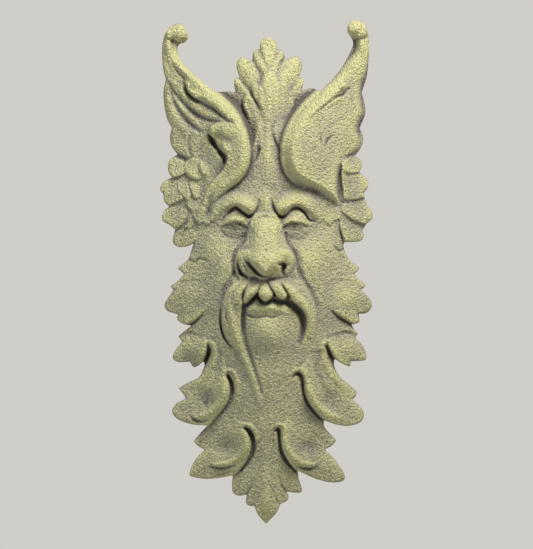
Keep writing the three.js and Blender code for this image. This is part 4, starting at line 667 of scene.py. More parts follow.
# The face. In these lists u and v are places on the sheet, then come half widths and the height added.
faceForms = {
    "nose": {"kind": "sheet", "edge": 4, "drop": 2, "blend": 4, "fall": 2.4, "line": [
        [[256, 213], [251, 222], [247.5, 234], [245, 244], [238.5, 249.5], [235, 258], [234.6, 268],
        [238, 276.5]],
        [[247, 278], [255, 276.5], [263, 278.5], [271, 276.5], [279, 277.5]],
        [[289, 276], [295, 267], [295.5, 258], [291, 250], [286, 244], [283.5, 232], [280, 222],
        [276, 213]]],
        "marks": [[266, 213, 48], [266, 222, 56], [266, 233, 62], [266, 244, 67.5], [266, 254, 72],
                  [266, 264, 76], [265, 272, 74], [258, 220, 53.5], [274, 220, 53.5], [257, 232, 59.5],
                  [275, 232, 60], [257, 244, 64.5], [275, 244, 65], [256, 253, 69], [276, 253, 69.5],
                  [256, 263, 73], [275, 263, 73.5], [251, 232, 51], [281, 232, 51], [249, 244, 55],
                  [283, 244, 56], [246, 252, 59], [287, 252, 60], [239, 257, 54], [292, 257, 55],
                  [238, 268, 51], [292, 268, 51], [246, 268, 57], [285, 270, 58], [256, 272, 66],
                  [274, 272, 67]]},
    "noseTip": {"kind": "swell", "place": [266, 263], "size": [10, 9], "amount": 2.5},
    "noseWingLeft": {"kind": "bead", "rows": [[247, 252, 5, 2], [241.5, 257, 5, 3.5], [241, 265, 4, 3],
                                             [244, 272, 3.4, 2]]},
    "noseWingRight": {"kind": "bead", "rows": [[284, 253, 5, 2], [290, 258, 5, 3.4], [290.5, 266, 3.6, 3],
                                              [287, 273, 3.4, 2.4]]},
    "nostrilLeft": {"kind": "bead", "rows": [[246.5, 261.5, 2.4, -3], [250, 265, 3.2, -9],
                                             [255, 270.5, 3.2, -10],
                                             [261, 275.5, 2.8, -8], [268, 276.5, 2.4, -4],
                                             [273, 273.5, 2.2, -2]]},
    "nostrilRight": {"kind": "bead", "rows": [[279, 264.5, 2.8, -5], [283.5, 265, 4, -11],
                                              [282.5, 270.5, 3.2, -7],
                                              [283.5, 275, 2.2, -2]]},
    "underNoseLeft": {"kind": "bead", "rows": [[237.5, 261, 2, -2], [239, 268, 2.6, -6],
                                               [241.5, 273.5, 3.2, -8],
                                               [247, 277, 2.4, -4]]},
    "wingCreaseLeft": {"kind": "ridge", "rows": [[249, 248.5, 3, 4, -1.5], [242, 248.8, 3, 5, -3],
                                                 [236.4, 253, 3, 5, -3.4], [233.6, 262, 3, 5, -3.4],
                                                 [235, 273, 3, 5, -3.4], [238, 279, 3, 4, -2]]},
    "wingCreaseRight": {"kind": "ridge", "rows": [[278, 249, 3, 3, -0.8], [285, 248.4, 4, 3, -2],
                                                  [292, 251, 5, 3, -3], [297, 259, 6, 3, -3],
                                                  [298, 269, 6, 3, -2.6], [300, 277, 6, 3, -2]]},
    "noseCrease": {"kind": "bead", "rows": [[254, 222, 2, -1.2], [259, 218.5, 2.2, -1.8],
                                            [266, 217, 2.2, -1.8],
                                            [274, 218.5, 2.2, -1.6], [278, 221, 2, -1]]},
    "browLumpLeft": {"kind": "swell", "place": [246, 206], "size": [8, 7], "amount": 2.6, "turn": 25},
    "browLumpRight": {"kind": "swell", "place": [284, 207], "size": [8, 7], "amount": 2.6, "turn": -25},
    "browLeft": {"kind": "ridge", "rows": [[211, 221, 10, 6, 2], [218, 212, 13, 7, 4.5],
                                           [227, 205, 15, 7, 6.5],
                                           [238, 203, 15, 7, 8.5], [247, 207, 12, 8, 9.5],
                                           [251, 212, 7, 5, 6]]},
    "browRight": {"kind": "ridge", "rows": [[320, 219, 6, 10, 2], [313, 211, 7, 13, 4.5],
                                            [305, 205, 7, 15, 6.5],
                                            [294, 203, 7, 15, 8.5], [284, 208, 8, 12, 9.5],
                                            [280, 213, 5, 7, 6]]},
    "frownLeft": {"kind": "bead", "rows": [[259, 201, 2.2, -1.2], [257.4, 208, 2.6, -3.6],
                                           [254, 213.5, 2.6, -4.6],
                                           [249.4, 217, 2.8, -6.5], [244, 213.8, 2.5, -6],
                                           [239.6, 210.4, 2.4, -5.6],
                                           [235.6, 208, 2.4, -5.4], [231.6, 211, 2.4, -3.4],
                                           [226.5, 215.5, 2.6, -2.4],
                                           [221.5, 222, 2.4, -1.4]]},
    "frownRight": {"kind": "bead", "rows": [[271.8, 200, 2.2, -1.6], [273, 206.5, 2.6, -4.4],
                                            [276.6, 213, 2.8, -6],
                                            [281.6, 217.4, 2.8, -6.5], [286.5, 215.6, 2.4, -3.4],
                                            [290.5, 211, 2.2, -2.4], [295, 208, 2.2, -4],
                                            [300.5, 209.8, 2.4, -5],
                                            [305, 214.4, 2.4, -5], [309.4, 220.2, 2.4, -4],
                                            [315, 221.4, 2.4, -1.6]]},
    "betweenBrows": {"kind": "ridge", "rows": [[266, 190, 7, 7, 1], [266, 202, 6, 6, 3],
                                               [266, 212, 7, 7, 2]]},
    "eyeballLeft": {"kind": "swell", "place": [236, 222], "size": [12, 8.5], "amount": 6.5},
    "eyeballRight": {"kind": "swell", "place": [297, 222], "size": [12, 8.5], "amount": 6.5},
    "lidLeft": {"kind": "ridge", "rows": [[221, 226, 3, 1.4, 0.8], [228, 222.6, 5, 1.4, 2],
                                          [235, 220.8, 5, 1.4, 2.4],
                                          [242, 222, 5, 1.4, 2.2], [248, 227, 3, 1.4, 1]]},
    "lidRight": {"kind": "ridge", "rows": [[281, 228, 3, 1.4, 0.8], [286.5, 223.6, 5, 1.4, 2],
                                           [293, 221.4, 5, 1.4, 2.2],
                                           [301, 222.4, 5, 1.4, 1.8], [309, 225.4, 3, 1.4, 0.8]]},
    "lidLineLeft": {"kind": "bead", "rows": [[222, 227, 1.6, -0.8], [228, 225, 1.7, -1.8],
                                             [235, 223.4, 1.8, -2.4],
                                             [241, 224.4, 1.8, -2.2], [247.5, 229, 1.7, -1]]},
    "lidLineRight": {"kind": "bead", "rows": [[282, 229.4, 1.6, -1], [287, 226, 1.7, -1.6],
                                              [293, 223.8, 1.8, -2.2],
                                              [300, 224.6, 1.7, -1.6], [308, 227, 1.6, -0.8]]},
    "irisLeft": {"kind": "swell", "place": [233.6, 226], "size": [1.8, 1.5], "amount": -2.4},
    "irisRight": {"kind": "swell", "place": [294.5, 226.4], "size": [2.4, 1.5], "amount": -2},
    "lowerLidLeft": {"kind": "ridge", "rows": [[223, 229, 2, 4, 0.4], [230, 231.4, 2, 4, 1],
                                               [238, 232, 2, 4, 1],
                                               [246, 231, 2, 3, 0.6]]},
    "lowerLidRight": {"kind": "ridge", "rows": [[284, 231, 2, 3, 0.6], [292, 232.4, 2, 4, 1],
                                                [300, 232, 2, 4, 1],
                                                [308, 229, 2, 4, 0.4]]},
    "bagLeft": {"kind": "bead", "rows": [[221, 231, 2.4, -0.8], [227, 236.4, 2.6, -1.4],
                                         [236, 239, 3, -1.2],
                                         [246, 236, 3, -0.8]]},
    "bagRight": {"kind": "bead", "rows": [[285, 235, 3, -0.8], [291, 238, 2.8, -1.4], [300, 239.4, 3, -1.2],
                                          [309, 234, 3, -0.6]]},
    "cheekLeft": {"kind": "swell", "place": [222, 262], "size": [13, 17], "amount": 3},
    "cheekRight": {"kind": "swell", "place": [312, 262], "size": [13, 17], "amount": 3},
    "foldRight": {"kind": "ridge", "rows": [[299, 270, 4, 5, -2], [304, 280, 4, 5, -2.5],
                                            [311, 291, 4, 5, -2],
                                            [317, 305, 4, 5, -1.2]]},
    "foldLeft": {"kind": "ridge", "rows": [[234, 272, 5, 4, -2], [230, 281, 5, 4, -2.5],
                                           [223, 291, 5, 4, -2],
                                           [219, 303, 5, 4, -1.2]]},
    "moustache": {"kind": "lift", "edge": 2.6, "line": [
        [[229, 343.5], [224, 335], [221.5, 325], [221, 313], [222.5, 301], [227, 290], [234, 282]],
        [[245, 278], [266, 277], [290, 277], [303, 281]],
        [[310, 291], [315, 303], [317, 318], [316, 333], [310, 348]],
        [[304, 350], [301, 343]],
        [[305, 332], [306.5, 321], [304, 312], [298, 305.5], [291, 300], [287.3, 296]],
        [[284, 299.5], [279, 298], [273.8, 293.5]],
        [[271.5, 298], [266, 300.8], [260.5, 298.5], [257.3, 293]],
        [[252, 298], [246.5, 303.5], [243.3, 302]],
        [[241.8, 312], [241, 325], [242, 338], [246, 352]],
        [[240, 351], [235, 348.5]]],
        "marks": [[236, 349, 1], [224, 333, 5], [221.5, 318, 5], [223, 300, 3.5], [232, 284, 1.5],
                  [246, 279, 0],
                  [266, 278, 0], [288, 278, 0], [303, 281, 0.5], [312, 296, 2], [317, 316, 2.5],
                  [315, 334, 1],
                  [308, 349, 0], [303, 343, 1.5], [306, 320, 7], [298, 306, 10], [288, 298, 10.5],
                  [279, 297, 10.5], [266, 299, 11], [257, 293, 10], [247, 302, 9.5], [242, 312, 6],
                  [241, 330, 5], [246, 351, 1], [266, 288, 7.5], [284, 288, 7], [246, 289, 7],
                  [232, 296, 6],
                  [300, 295, 6], [232, 320, 6.5], [312, 312, 5]]},
    "lockBall": {"kind": "swell", "place": [266, 293], "size": [5, 5.5], "amount": 3.4},
    "lockRight": {"kind": "bead", "rows": [[275, 283, 4, 1.5], [280, 290, 4.6, 3.2], [284, 296, 4, 3]]},
    "lockLeft": {"kind": "bead", "rows": [[258, 284, 4, 1], [252, 291, 4.5, 3], [246, 299, 3.6, 2.4]]},
    "lockOuterLeft": {"kind": "bead", "rows": [[247, 283, 3.6, 1], [240, 290, 4.2, 2.6], [236, 300, 4, 2],
                                               [233, 306, 3, 1]]},
    "lockOuterRight": {"kind": "bead", "rows": [[288, 286, 5, 1.5], [296, 295, 5.5, 3],
                                                [305, 305, 5.5, 2.6],
                                                [311, 320, 5, 2], [310, 336, 4, 1]]},
    "partBallRight": {"kind": "bead", "rows": [[267.5, 282, 2, -1.5], [270, 287, 2.2, -4.5],
                                               [274, 294, 2.4, -7]]},
    "partRight": {"kind": "bead", "rows": [[281, 283, 2, -1.5], [284.5, 289, 2.1, -4.5],
                                           [289, 296.5, 2.4, -6]]},
    "partBallLeft": {"kind": "bead", "rows": [[261, 284, 2, -0.8], [259, 289, 2.2, -2.5],
                                              [257.5, 294, 2.4, -4]]},
    "partLeft": {"kind": "bead", "rows": [[249, 283, 2, -1], [245.5, 289, 2.2, -3], [243.3, 295, 2.6, -7],
                                          [242.5, 300, 2.4, -6]]},
    "strandLeft": {"kind": "bead", "rows": [[240, 284, 1.8, -0.8], [234, 292, 2, -1.6],
                                            [231, 303, 1.8, -1]]},
    "mouthHollow": {"kind": "bead", "rows": [[243, 306, 3, -2], [248, 304, 3.4, -4], [253, 299.5, 3.6, -6],
                                             [257.5, 296.5, 3.6, -7], [262, 302, 3, -5],
                                             [267, 304, 2.8, -3.5],
                                             [272.5, 300, 3.2, -6], [279, 302, 3.4, -6],
                                             [287, 302.5, 4.2, -7],
                                             [295, 308, 4.6, -8], [301, 316, 5, -7], [302.5, 328, 5, -5],
                                             [300, 342, 5, -3]]},
    "longLock": {"kind": "bead", "rows": [[229, 302, 4, 1], [231, 315, 6, 3], [234, 330, 6, 3.2],
                                          [240, 348, 6, 3], [248, 366, 6, 2.4], [256, 388, 5, 1.6],
                                          [261, 404, 4, 0.8]]},
    "longLockLine": {"kind": "bead", "rows": [[226, 309, 1.8, -1], [226.3, 317, 2, -2.4],
                                              [229, 324, 1.8, -1]]},
    "longLockOuter": {"kind": "ridge", "rows": [[221, 309, 4, 2, -1.5], [220.5, 322, 5, 2, -4],
                                                [224, 336, 5, 2, -4.5], [231, 346, 4, 2, -2]]},
    "chinSideLeft": {"kind": "bead", "rows": [[245, 310, 3.5, -2], [243.5, 323, 4, -3],
                                              [245.5, 338, 4, -2.6],
                                              [250, 353, 3.5, -2.6], [255, 370, 3.5, -2.4],
                                              [262, 393, 3, -1.4]]},
    "lowerLip": {"kind": "ridge", "rows": [[247, 311, 4, 5, 1.5], [256, 307.5, 5, 8, 4],
                                           [266, 307, 4, 8, 4.5],
                                           [276, 307.5, 5, 8, 4], [287, 311, 5, 6, 2]]},
    "lipLine": {"kind": "bead", "rows": [[246, 312, 2.2, -1.2], [251, 316.3, 2.4, -2.4],
                                         [258, 317.2, 2.4, -2.4],
                                         [266, 316.2, 2.2, -2.2], [273, 317.4, 2.4, -2.8],
                                         [278, 315.5, 2.2, -1]]},
    "chin": {"kind": "swell", "place": [269, 333], "size": [19, 15], "amount": 5},
    "cheekEdgeLeft": {"kind": "bead", "rows": [[189, 259, 2, -1.5], [195, 262, 2.2, -2.4],
                                               [200, 258.5, 2.2, -2],
                                               [208, 261, 2, -1]]},
    "cheekEdgeRight": {"kind": "bead", "rows": [[334, 246, 2, -1.5], [339, 251, 2.2, -2.6],
                                                [344, 248, 2, -1]]},
    "cheekMarkRight": {"kind": "bead", "rows": [[323, 248, 1.8, -0.8], [328, 253, 2, -1.6],
                                                [334, 250, 1.8, -0.8]]},
    "lidDomeLeft": {"kind": "swell", "place": [237, 217], "size": [10, 5], "amount": 2.4, "turn": 8},
    "lidDomeRight": {"kind": "swell", "place": [297, 216.5], "size": [10, 5], "amount": 2.4, "turn": -4},
    "pupilLeft": {"kind": "swell", "place": [240, 225], "size": [1.6, 1.3], "amount": -1.8},
    "templeLineLeft": {"kind": "bead", "rows": [[207, 220.6, 1.8, -0.8], [212, 222, 2, -1.6],
                                                [217, 224.4, 1.8, -0.8]]},
}
carve(faceForms)

# The leaf beard: five pairs of lobes, rolled along their inner edges, with a drilled eye at each root
beardForms = {
    "firstLeft": {"kind": "lift", "edge": 3.2, "line": [
        [[160, 308], [178, 314.4]], [[177, 321], [184.5, 325], [192.5, 322.5], [200.5, 316]],
        [[212, 300], [205, 280], [180, 280]]],
        "marks": [[168, 312, 2], [182, 322, 5.5], [195, 318, 5.5], [202, 308, 1], [203, 290, 0],
                  [170, 295, 0]]},
    "firstRight": {"kind": "lift", "edge": 3.2, "line": [
        [[374, 308], [358.6, 313.6]], [[360.5, 322], [355, 325], [347, 321], [333, 312]],
        [[322, 300], [330, 280], [357, 280]]],
        "marks": [[368, 312, 2], [355, 322, 5.5], [340, 317, 5.5], [331, 308, 1], [333, 290, 0],
                  [366, 295, 0]]},
    "firstShadeLeft": {"kind": "ridge", "rows": [[180, 324, 4, 1.5, -1], [187, 326, 4, 1.5, -2],
                                                 [194, 323.5, 4, 1.5, -2], [202, 316, 4, 1.5, -1]]},
    "firstShadeRight": {"kind": "ridge", "rows": [[353, 325.5, 1.5, 4, -1], [346, 322, 1.5, 4, -2],
                                                  [339, 318, 1.5, 4, -2], [331, 311, 1.5, 4, -1]]},
    "secondLeft": {"kind": "lift", "edge": 4, "line": [
        [[166, 340], [166, 366], [190, 370]], [[197, 368.5], [203, 364.5], [206.8, 357], [207.4, 349]],
        [[206, 338], [190, 330]]],
        "marks": [[176, 358, 1], [193, 364, 3], [203, 360, 6], [206, 350, 6], [203, 340, 1],
                  [190, 342, 0]]},
    "secondRight": {"kind": "lift", "edge": 4, "line": [
        [[372, 340], [372, 366], [350, 370]], [[343, 366], [335.5, 361], [331, 354], [328, 347]],
        [[328, 336], [345, 330]]],
        "marks": [[364, 357, 1], [350, 364, 3], [338, 360, 6], [331, 351, 6], [331, 340, 1],
                  [348, 342, 0]]},
    "eyeSecondLeft": {"kind": "bead", "rows": [[208.6, 346.5, 2.6, -3], [208.8, 351, 3.6, -10],
                                               [206.5, 358, 3.6, -9],
                                               [203, 366, 3.4, -7]]},
    "eyeSecondRight": {"kind": "bead", "rows": [[326.6, 346.5, 2.6, -4], [329, 351, 3.4, -9],
                                                [332.5, 357.5, 3.6, -9],
                                                [337, 364, 3.4, -7]]},
    "archSecondLeft": {"kind": "bead", "rows": [[203, 344, 3, 1], [208, 341.5, 3.6, 2], [213.5, 345, 4, 3],
                                                [214.5, 354, 4.6, 3.4], [211, 366, 6, 3.6],
                                                [203, 377, 6.5, 2.6],
                                                [191, 386, 6, 1.2]]},
    "archSecondRight": {"kind": "bead", "rows": [[331, 342, 3, 1], [326.5, 341, 3.6, 2], [322.5, 345, 4, 3],
                                                 [323, 354, 4.6, 3.4], [327, 366, 6, 3.6],
                                                 [335, 377, 6.5, 2.6],
                                                 [346, 387, 6, 1.2]]},
    "hollowSecondLeft": {"kind": "bead", "rows": [[220, 350, 4, -0.8], [220, 365, 5, -1.8],
                                                  [214, 382, 5, -2],
                                                  [208, 396, 5, -1]]},
    "hollowSecondRight": {"kind": "bead", "rows": [[316, 350, 4, -0.8], [316, 366, 4.5, -2.4],
                                                   [321, 382, 5, -2.4],
                                                   [328, 394, 5, -1]]},
    "thirdLeft": {"kind": "lift", "edge": 7.5, "line": [
        [[229.5, 384], [229.5, 394], [226, 405], [218, 415.5], [209, 426]],
        [[195, 434], [171, 428], [160, 412], [168, 398], [166, 386], [182, 376], [198, 360]],
        [[212, 350], [222, 355], [226, 365], [227.5, 375]]],
        "marks": [[228, 384, 8], [226, 398, 9.5], [218, 411, 9], [209, 420, 7], [225, 370, 4],
                  [214, 362, 0.5],
                  [205, 385, 0], [190, 400, 0], [180, 412, 0.5], [194, 421, 3], [208, 400, 1]]},
    "thirdRight": {"kind": "lift", "edge": 8.5, "line": [
        [[336, 430], [326, 423], [317, 414.5], [309.5, 405], [304.5, 394], [302.5, 383]],
        [[299, 374], [302, 364], [309, 355], [319, 349], [329, 352], [338, 362], [348, 374], [366, 386],
         [362, 398], [374, 412], [368, 430], [350, 436]]],
        "marks": [[303, 384, 8], [306, 396, 11], [313, 408, 11], [325, 420, 9], [304, 370, 4],
                  [314, 360, 0.5],
                  [330, 384, 0], [345, 398, 0], [356, 412, 0.5], [342, 422, 3], [328, 400, 1]]},
    "rimThirdLeft": {"kind": "ridge", "rows": [[225, 376, 5, 4, 1], [224, 388, 6, 5, 2.6],
                                               [220, 400, 7, 5, 3],
                                               [212, 409.5, 7, 5, 3], [201, 415.5, 6, 4, 2.4],
                                               [192, 417, 5, 4, 1]]},
    "rimThirdRight": {"kind": "ridge", "rows": [[305, 376, 4, 5, 1], [308.5, 388, 5, 6, 2.6],
                                                [314, 399, 5, 7, 3],
                                                [322, 408, 5, 7, 3], [333, 415, 4, 6, 2.4],
                                                [345, 419, 4, 5, 1]]},
    "basinThirdLeft": {"kind": "swell", "place": [205, 399], "size": [9, 11], "amount": -3.4, "turn": 30},
    "basinThirdRight": {"kind": "swell", "place": [332, 399], "size": [9, 11], "amount": -3.4, "turn": -30},
    "pitThirdLeft": {"kind": "bead", "rows": [[208, 399, 2, -0.8], [206, 403, 2.6, -2],
                                              [205, 407, 2, -0.8]]},
    "lineThirdLeft": {"kind": "bead", "rows": [[190, 416, 2.2, -1.5], [195, 420, 2.8, -3.4],
                                               [203, 421.5, 2.8, -3],
                                               [210, 419, 2.4, -1]]},
    "eyeThirdLeft": {"kind": "bead", "rows": [[225.5, 374.5, 2.4, -2], [228.5, 377, 3.4, -9],
                                              [231.5, 383, 3.6, -7],
                                              [232.4, 392, 3.6, -4], [230, 402, 3.2, -2.4],
                                              [223, 412, 3, -1]]},
    "eyeThirdRight": {"kind": "bead", "rows": [[292, 377, 2, -1], [296, 373.8, 2.8, -4.5],
                                               [300.5, 374.6, 3.2, -9],
                                               [303, 381, 3.4, -7], [304, 392, 3.6, -5],
                                               [309, 404, 3.6, -4.5],
                                               [317, 414, 3.4, -4], [326, 422, 3, -3]]},
    "browThirdLeft": {"kind": "bead", "rows": [[223, 372, 2.6, 0.8], [228, 369.5, 3, 2],
                                               [234, 372, 3.2, 2.2],
                                               [237, 380, 3.4, 1.6], [238, 392, 3.6, 0.8]]},
    "browThirdRight": {"kind": "bead", "rows": [[290, 374, 2.6, 0.8], [295, 369.6, 3, 2],
                                                [302, 369, 3.2, 2.2],
                                                [307, 374, 3.2, 1.6]]},
    "fourthLeft": {"kind": "lift", "edge": 7, "line": [
        [[249.5, 437], [250.5, 448], [247.5, 459], [241, 469], [232, 478]],
        [[216, 490], [182, 482], [182, 462], [194, 446]],
        [[208, 434], [224, 422], [238, 419], [244, 422], [246, 429]]],
        "marks": [[249, 438, 7], [248, 452, 8], [241, 466, 7.5], [231, 474, 4.5], [241, 424, 2],
                  [225, 430, 0],
                  [208, 448, 0], [195, 468, 0], [214, 476, 1], [228, 450, 0.5], [222, 464, 3]]},
    "fourthRight": {"kind": "lift", "edge": 8, "line": [
        [[318, 490], [298, 473.5], [289, 463], [282.5, 450], [279.5, 438]],
        [[280, 429], [284, 421], [292, 418], [305, 423], [318, 434], [330, 444], [340, 458], [354, 476],
         [346, 490]]],
        "marks": [[280, 438, 7], [284, 452, 10], [291, 464, 9], [299, 472, 5], [287, 424, 2], [302, 431, 0],
                  [322, 448, 0], [338, 468, 0], [318, 478, 1], [302, 449, 0.5], [308, 463, 3]]},
    "rimFourthLeft": {"kind": "ridge", "rows": [[245.5, 432, 5, 4, 1], [245, 444, 6, 4.5, 2.6],
                                                [239, 455.5, 6, 5, 3], [229, 462, 6, 4.5, 3.4],
                                                [218, 464, 6, 3.6, 3], [211, 463.5, 4, 3, 1]]},
    "rimFourthRight": {"kind": "ridge", "rows": [[284, 432, 4, 5, 1], [286.5, 444, 4.5, 6, 2.6],
                                                 [293, 455.5, 5, 6, 3], [302, 462, 4.5, 6, 3.4],
                                                 [311, 464, 3.6, 6, 3], [317, 463.5, 3, 4, 1]]},
    "basinFourthLeft": {"kind": "swell", "place": [224, 446], "size": [11, 8], "amount": -3, "turn": -30},
    "basinFourthRight": {"kind": "swell", "place": [309, 446], "size": [11, 8], "amount": -3, "turn": 30},
    "lineFourthLeft": {"kind": "bead", "rows": [[210, 466, 2, -1.5], [216, 467.6, 2.6, -3.4],
                                                [225, 468, 2.6, -3.2],
                                                [234, 465, 2.2, -1.2]]},
    "lineFourthRight": {"kind": "bead", "rows": [[296, 464.5, 2.2, -1.2], [304, 468, 2.6, -3.2],
                                                 [312, 468.2, 2.6, -3.2], [317, 466, 2, -1.4]]},
    "lineFourthLow": {"kind": "bead", "rows": [[216, 476, 2, -0.8], [224, 474, 2.4, -1.8],
                                               [232, 471, 2, -1]]},
    "eyeFourthLeft": {"kind": "bead", "rows": [[243.5, 427.5, 2.2, -2], [247, 429, 3.2, -8],
                                               [250.5, 433, 3.8, -10],
                                               [253, 440, 3.6, -6], [253.5, 450, 3.4, -4],
                                               [249, 461, 3.2, -3],
                                               [241, 470, 3, -2]]},
    "eyeFourthRight": {"kind": "bead", "rows": [[275, 430, 2.2, -3], [278.6, 429.6, 3.2, -8],
                                                [279.6, 437, 3.4, -7],
                                                [281, 450, 3.4, -5], [287, 461.5, 3.4, -5],
                                                [296, 471, 3.2, -4]]},
    "browFourthLeft": {"kind": "bead", "rows": [[241, 424, 2.6, 0.8], [247, 423.6, 3, 2.2],
                                                [253, 427, 3.2, 2.6],
                                                [256.5, 434, 3, 2], [257.5, 443, 3, 1]]},
    "browFourthRight": {"kind": "bead", "rows": [[274, 426, 2.4, 0.8], [279, 423.6, 3, 2],
                                                 [284.5, 427, 3, 3],
                                                 [285.6, 432, 2.8, 1.6]]},
    "cornerLeft": {"kind": "bead", "rows": [[254.5, 440, 2, -0.8], [258, 442.5, 2.4, -1.6],
                                            [256, 447, 2, -0.6]]},
    "cornerRight": {"kind": "bead", "rows": [[273.6, 430, 2, -0.6], [272.4, 436, 2.2, -1.2],
                                             [273, 443, 2, -0.6]]},
    "tailRib": {"kind": "bead", "rows": [[266, 446, 8, 0.6], [266, 475, 8, 1.4], [266, 508, 6, 1.4]]},
    "tailNotchLeft": {"kind": "bead", "rows": [[246, 495, 2, -1.6], [250, 489, 2.6, -1.6],
                                               [254, 480, 3, -0.8]]},
    "tailNotchRight": {"kind": "bead", "rows": [[287, 492, 2, -1.6], [282, 486, 2.6, -1.6],
                                                [279, 478, 3, -0.8]]},
    "tailTipLeft": {"kind": "bead", "rows": [[254, 506, 2, -1.4], [257.5, 500, 2.4, -1.2],
                                             [260, 493, 2.4, -0.4]]},
    "tailTipRight": {"kind": "bead", "rows": [[280, 505, 2, -1.4], [276, 499, 2.4, -1.2],
                                              [273, 492, 2.4, -0.4]]},
}
carve(beardForms)

print("relief carved")


# The front edge is rounded towards the outline, and nothing is thinner than the casting's edge
outlineLine = closedLine(outline.values(), 6)
depth, nearU, nearV = nearestOnLine(sheetU, sheetV, outlineLine)
height = np.maximum(height, reliefGrid["leastEdge"])
height = np.minimum(height, reliefGrid["mostHeight"])
lip = np.clip(1 - depth / reliefGrid["lipRadius"], 0, 1)
height = height - reliefGrid["lipDrop"] * (1 - np.sqrt(1 - lip * lip))


def blurred(field, radius):
    # a soft average over the radius in mm
    pad = int(3 * radius / reliefGrid["pitch"]) + 2
    wide = np.pad(field, pad, mode="edge")
    waves = []
    for count in wide.shape:
        waves.append(np.fft.fftfreq(count, reliefGrid["pitch"]) * 2 * math.pi)
    keep = np.exp(-0.5 * radius ** 2 * (waves[0][:, None] ** 2 + waves[1][None, :] ** 2))
    soft = np.real(np.fft.ifft2(np.fft.fft2(wide) * keep))
    return soft[pad:-pad, pad:-pad]


def grainField(seed, size):
    # random swelling of about the size in mm, between about -1 and 1
    noise = np.random.default_rng(seed).standard_normal(height.shape)
    soft = blurred(noise, size / 6.5) - blurred(noise, size / 3.2)
    return soft / (2 * soft.std())


# Sand of the mould: a coarse grain and a finer one
sand = {"coarseSize": 5.5, "coarseDepth": 0.28, "fineSize": 2.4, "fineDepth": 0.85, "seed": 7}
grain = grainField(sand["seed"], sand["coarseSize"]) * sand["coarseDepth"]
grain = grain + grainField(sand["seed"] + 1, sand["fineSize"]) * sand["fineDepth"]
smoothHeight = height
height = height + grain * np.clip(depth / 2, 0, 1)
height = np.clip(height, 1, reliefGrid["mostHeight"])

# How far each place lies below or above its surroundings, for the painted shade in the hollows of the colour
hollows = {}
for name, radius in {"near": 1.6, "middle": 4.5, "wide": 12.0}.items():
    hollows[name] = blurred(smoothHeight, radius) - smoothHeight


# The mesh: the sheet's cells cut along the outline, a side wall, and a plain flat back
places = []
values = []
nodeIndex = {}


def addPoint(u, v, rise, tones):
    places.append(((u - sheetPlace["originU"]) / 1000, -rise / 1000, (sheetPlace["originV"] - v) / 1000))
    values.append(tones)
    return len(places) - 1


onLine = np.abs(depth) < 0.16 * reliefGrid["pitch"]
gridU = np.where(onLine, nearU, sheetU)
gridV = np.where(onLine, nearV, sheetV)
gridDepth = np.where(onLine, 0.0, depth)
# the hollow depths go with each point, for the painted shade in the material
tones = np.stack([hollows["near"], hollows["middle"], hollows["wide"]], -1)


def gridPoint(row, column):
    key = (row, column)
    if key not in nodeIndex:
        nodeIndex[key] = addPoint(gridU[key], gridV[key], height[key], tones[key])
    return nodeIndex[key]


def cutPoint(first, second):
    key = (min(first, second), max(first, second))
    if key not in nodeIndex:
        one, two = key
        share = gridDepth[one] / (gridDepth[one] - gridDepth[two])
        mixed = [a[one] + (a[two] - a[one]) * share for a in (gridU, gridV, height, tones)]
        nodeIndex[key] = addPoint(*mixed)
    return nodeIndex[key]


faces = []
for row in range(height.shape[0] - 1):
    lows = gridDepth[row:row + 2]
    for column in np.nonzero(np.max(np.maximum(lows[:, :-1], lows[:, 1:]), axis=0) > 0)[0]:
        column = int(column)
        corners = [(row, column), (row + 1, column), (row + 1, column + 1), (row, column + 1)]
        face = []
        for first, second in zip(corners, corners[1:] + corners[:1]):
            if gridDepth[first] >= 0:
                face.append(gridPoint(*first))
            if gridDepth[first] * gridDepth[second] < 0:
                face.append(cutPoint(first, second))
        if len(face) > 2:
            faces.append(face)

sides = {}
for face in faces:
    for first, second in zip(face, face[1:] + face[:1]):
        if (second, first) in sides:
            del sides[(second, first)]
        else:
            sides[(first, second)] = True
following = {second: first for first, second in sides}
loop = [next(iter(following))]
while following[loop[-1]] != loop[0]:
    loop.append(following[loop[-1]])
print("outline of", len(loop), "points,", len(following), "on the edge")

# The side wall, straight from the front edge down to the back, because a wall that draws in would cross
# itself at the notches. The painted shade values fade out on the way, so that the back is plain.
upper = list(loop)
for share in reliefGrid["wallRows"] + (0.0,):
    lower = []
    for index in loop:
        across, out, up = places[index]
        places.append((across, out * share, up))
        values.append(values[index] * share)
        lower.append(len(places) - 1)
    for a, b, c, d in zip(upper, upper[1:] + upper[:1], lower[1:] + lower[:1], lower):
        faces.append([a, b, c, d])
    upper = lower
frontAndWall = len(faces)

# nothing stands out of the solid's own box
places = np.clip(places, maskLow, maskHigh).tolist()
mesh = bpy.data.meshes.new("mask")
mesh.from_pydata(places, [], faces + [upper])
# point attributes that carry the painted shade of the hollows to the material
for name, column in {"paintedShadeNear": 0, "paintedShadeMiddle": 1, "paintedShadeWide": 2}.items():
    layer = mesh.attributes.new(name, "FLOAT", "POINT")
    layer.data.foreach_set("value", np.asarray(values)[:, column].astype(np.float32))
mesh.polygons.foreach_set("use_smooth", [True] * frontAndWall + [False])
mask = bpy.data.objects.new("castMask", mesh)
bpy.context.scene.collection.objects.link(mask)
print("mask mesh:", len(places), "points")


def linearColour(hexColour):
    # sRGB hex to the linear values that the shader takes
    parts = [int(hexColour[i:i + 2], 16) / 255 for i in (1, 3, 5)]
    return [p / 12.92 if p <= 0.04045 else ((p + 0.055) / 1.055) ** 2.4 for p in parts] + [1.0]


def addNode(tree, kind, inputs=None, **settings):
    node = tree.nodes.new("ShaderNode" + kind)
    for name, value in settings.items():
        setattr(node, name, value)
    for name, value in (inputs or {}).items():
        if isinstance(value, bpy.types.NodeSocket):
            tree.links.new(value, node.inputs[name])
        else:
            node.inputs[name].default_value = value
    return node
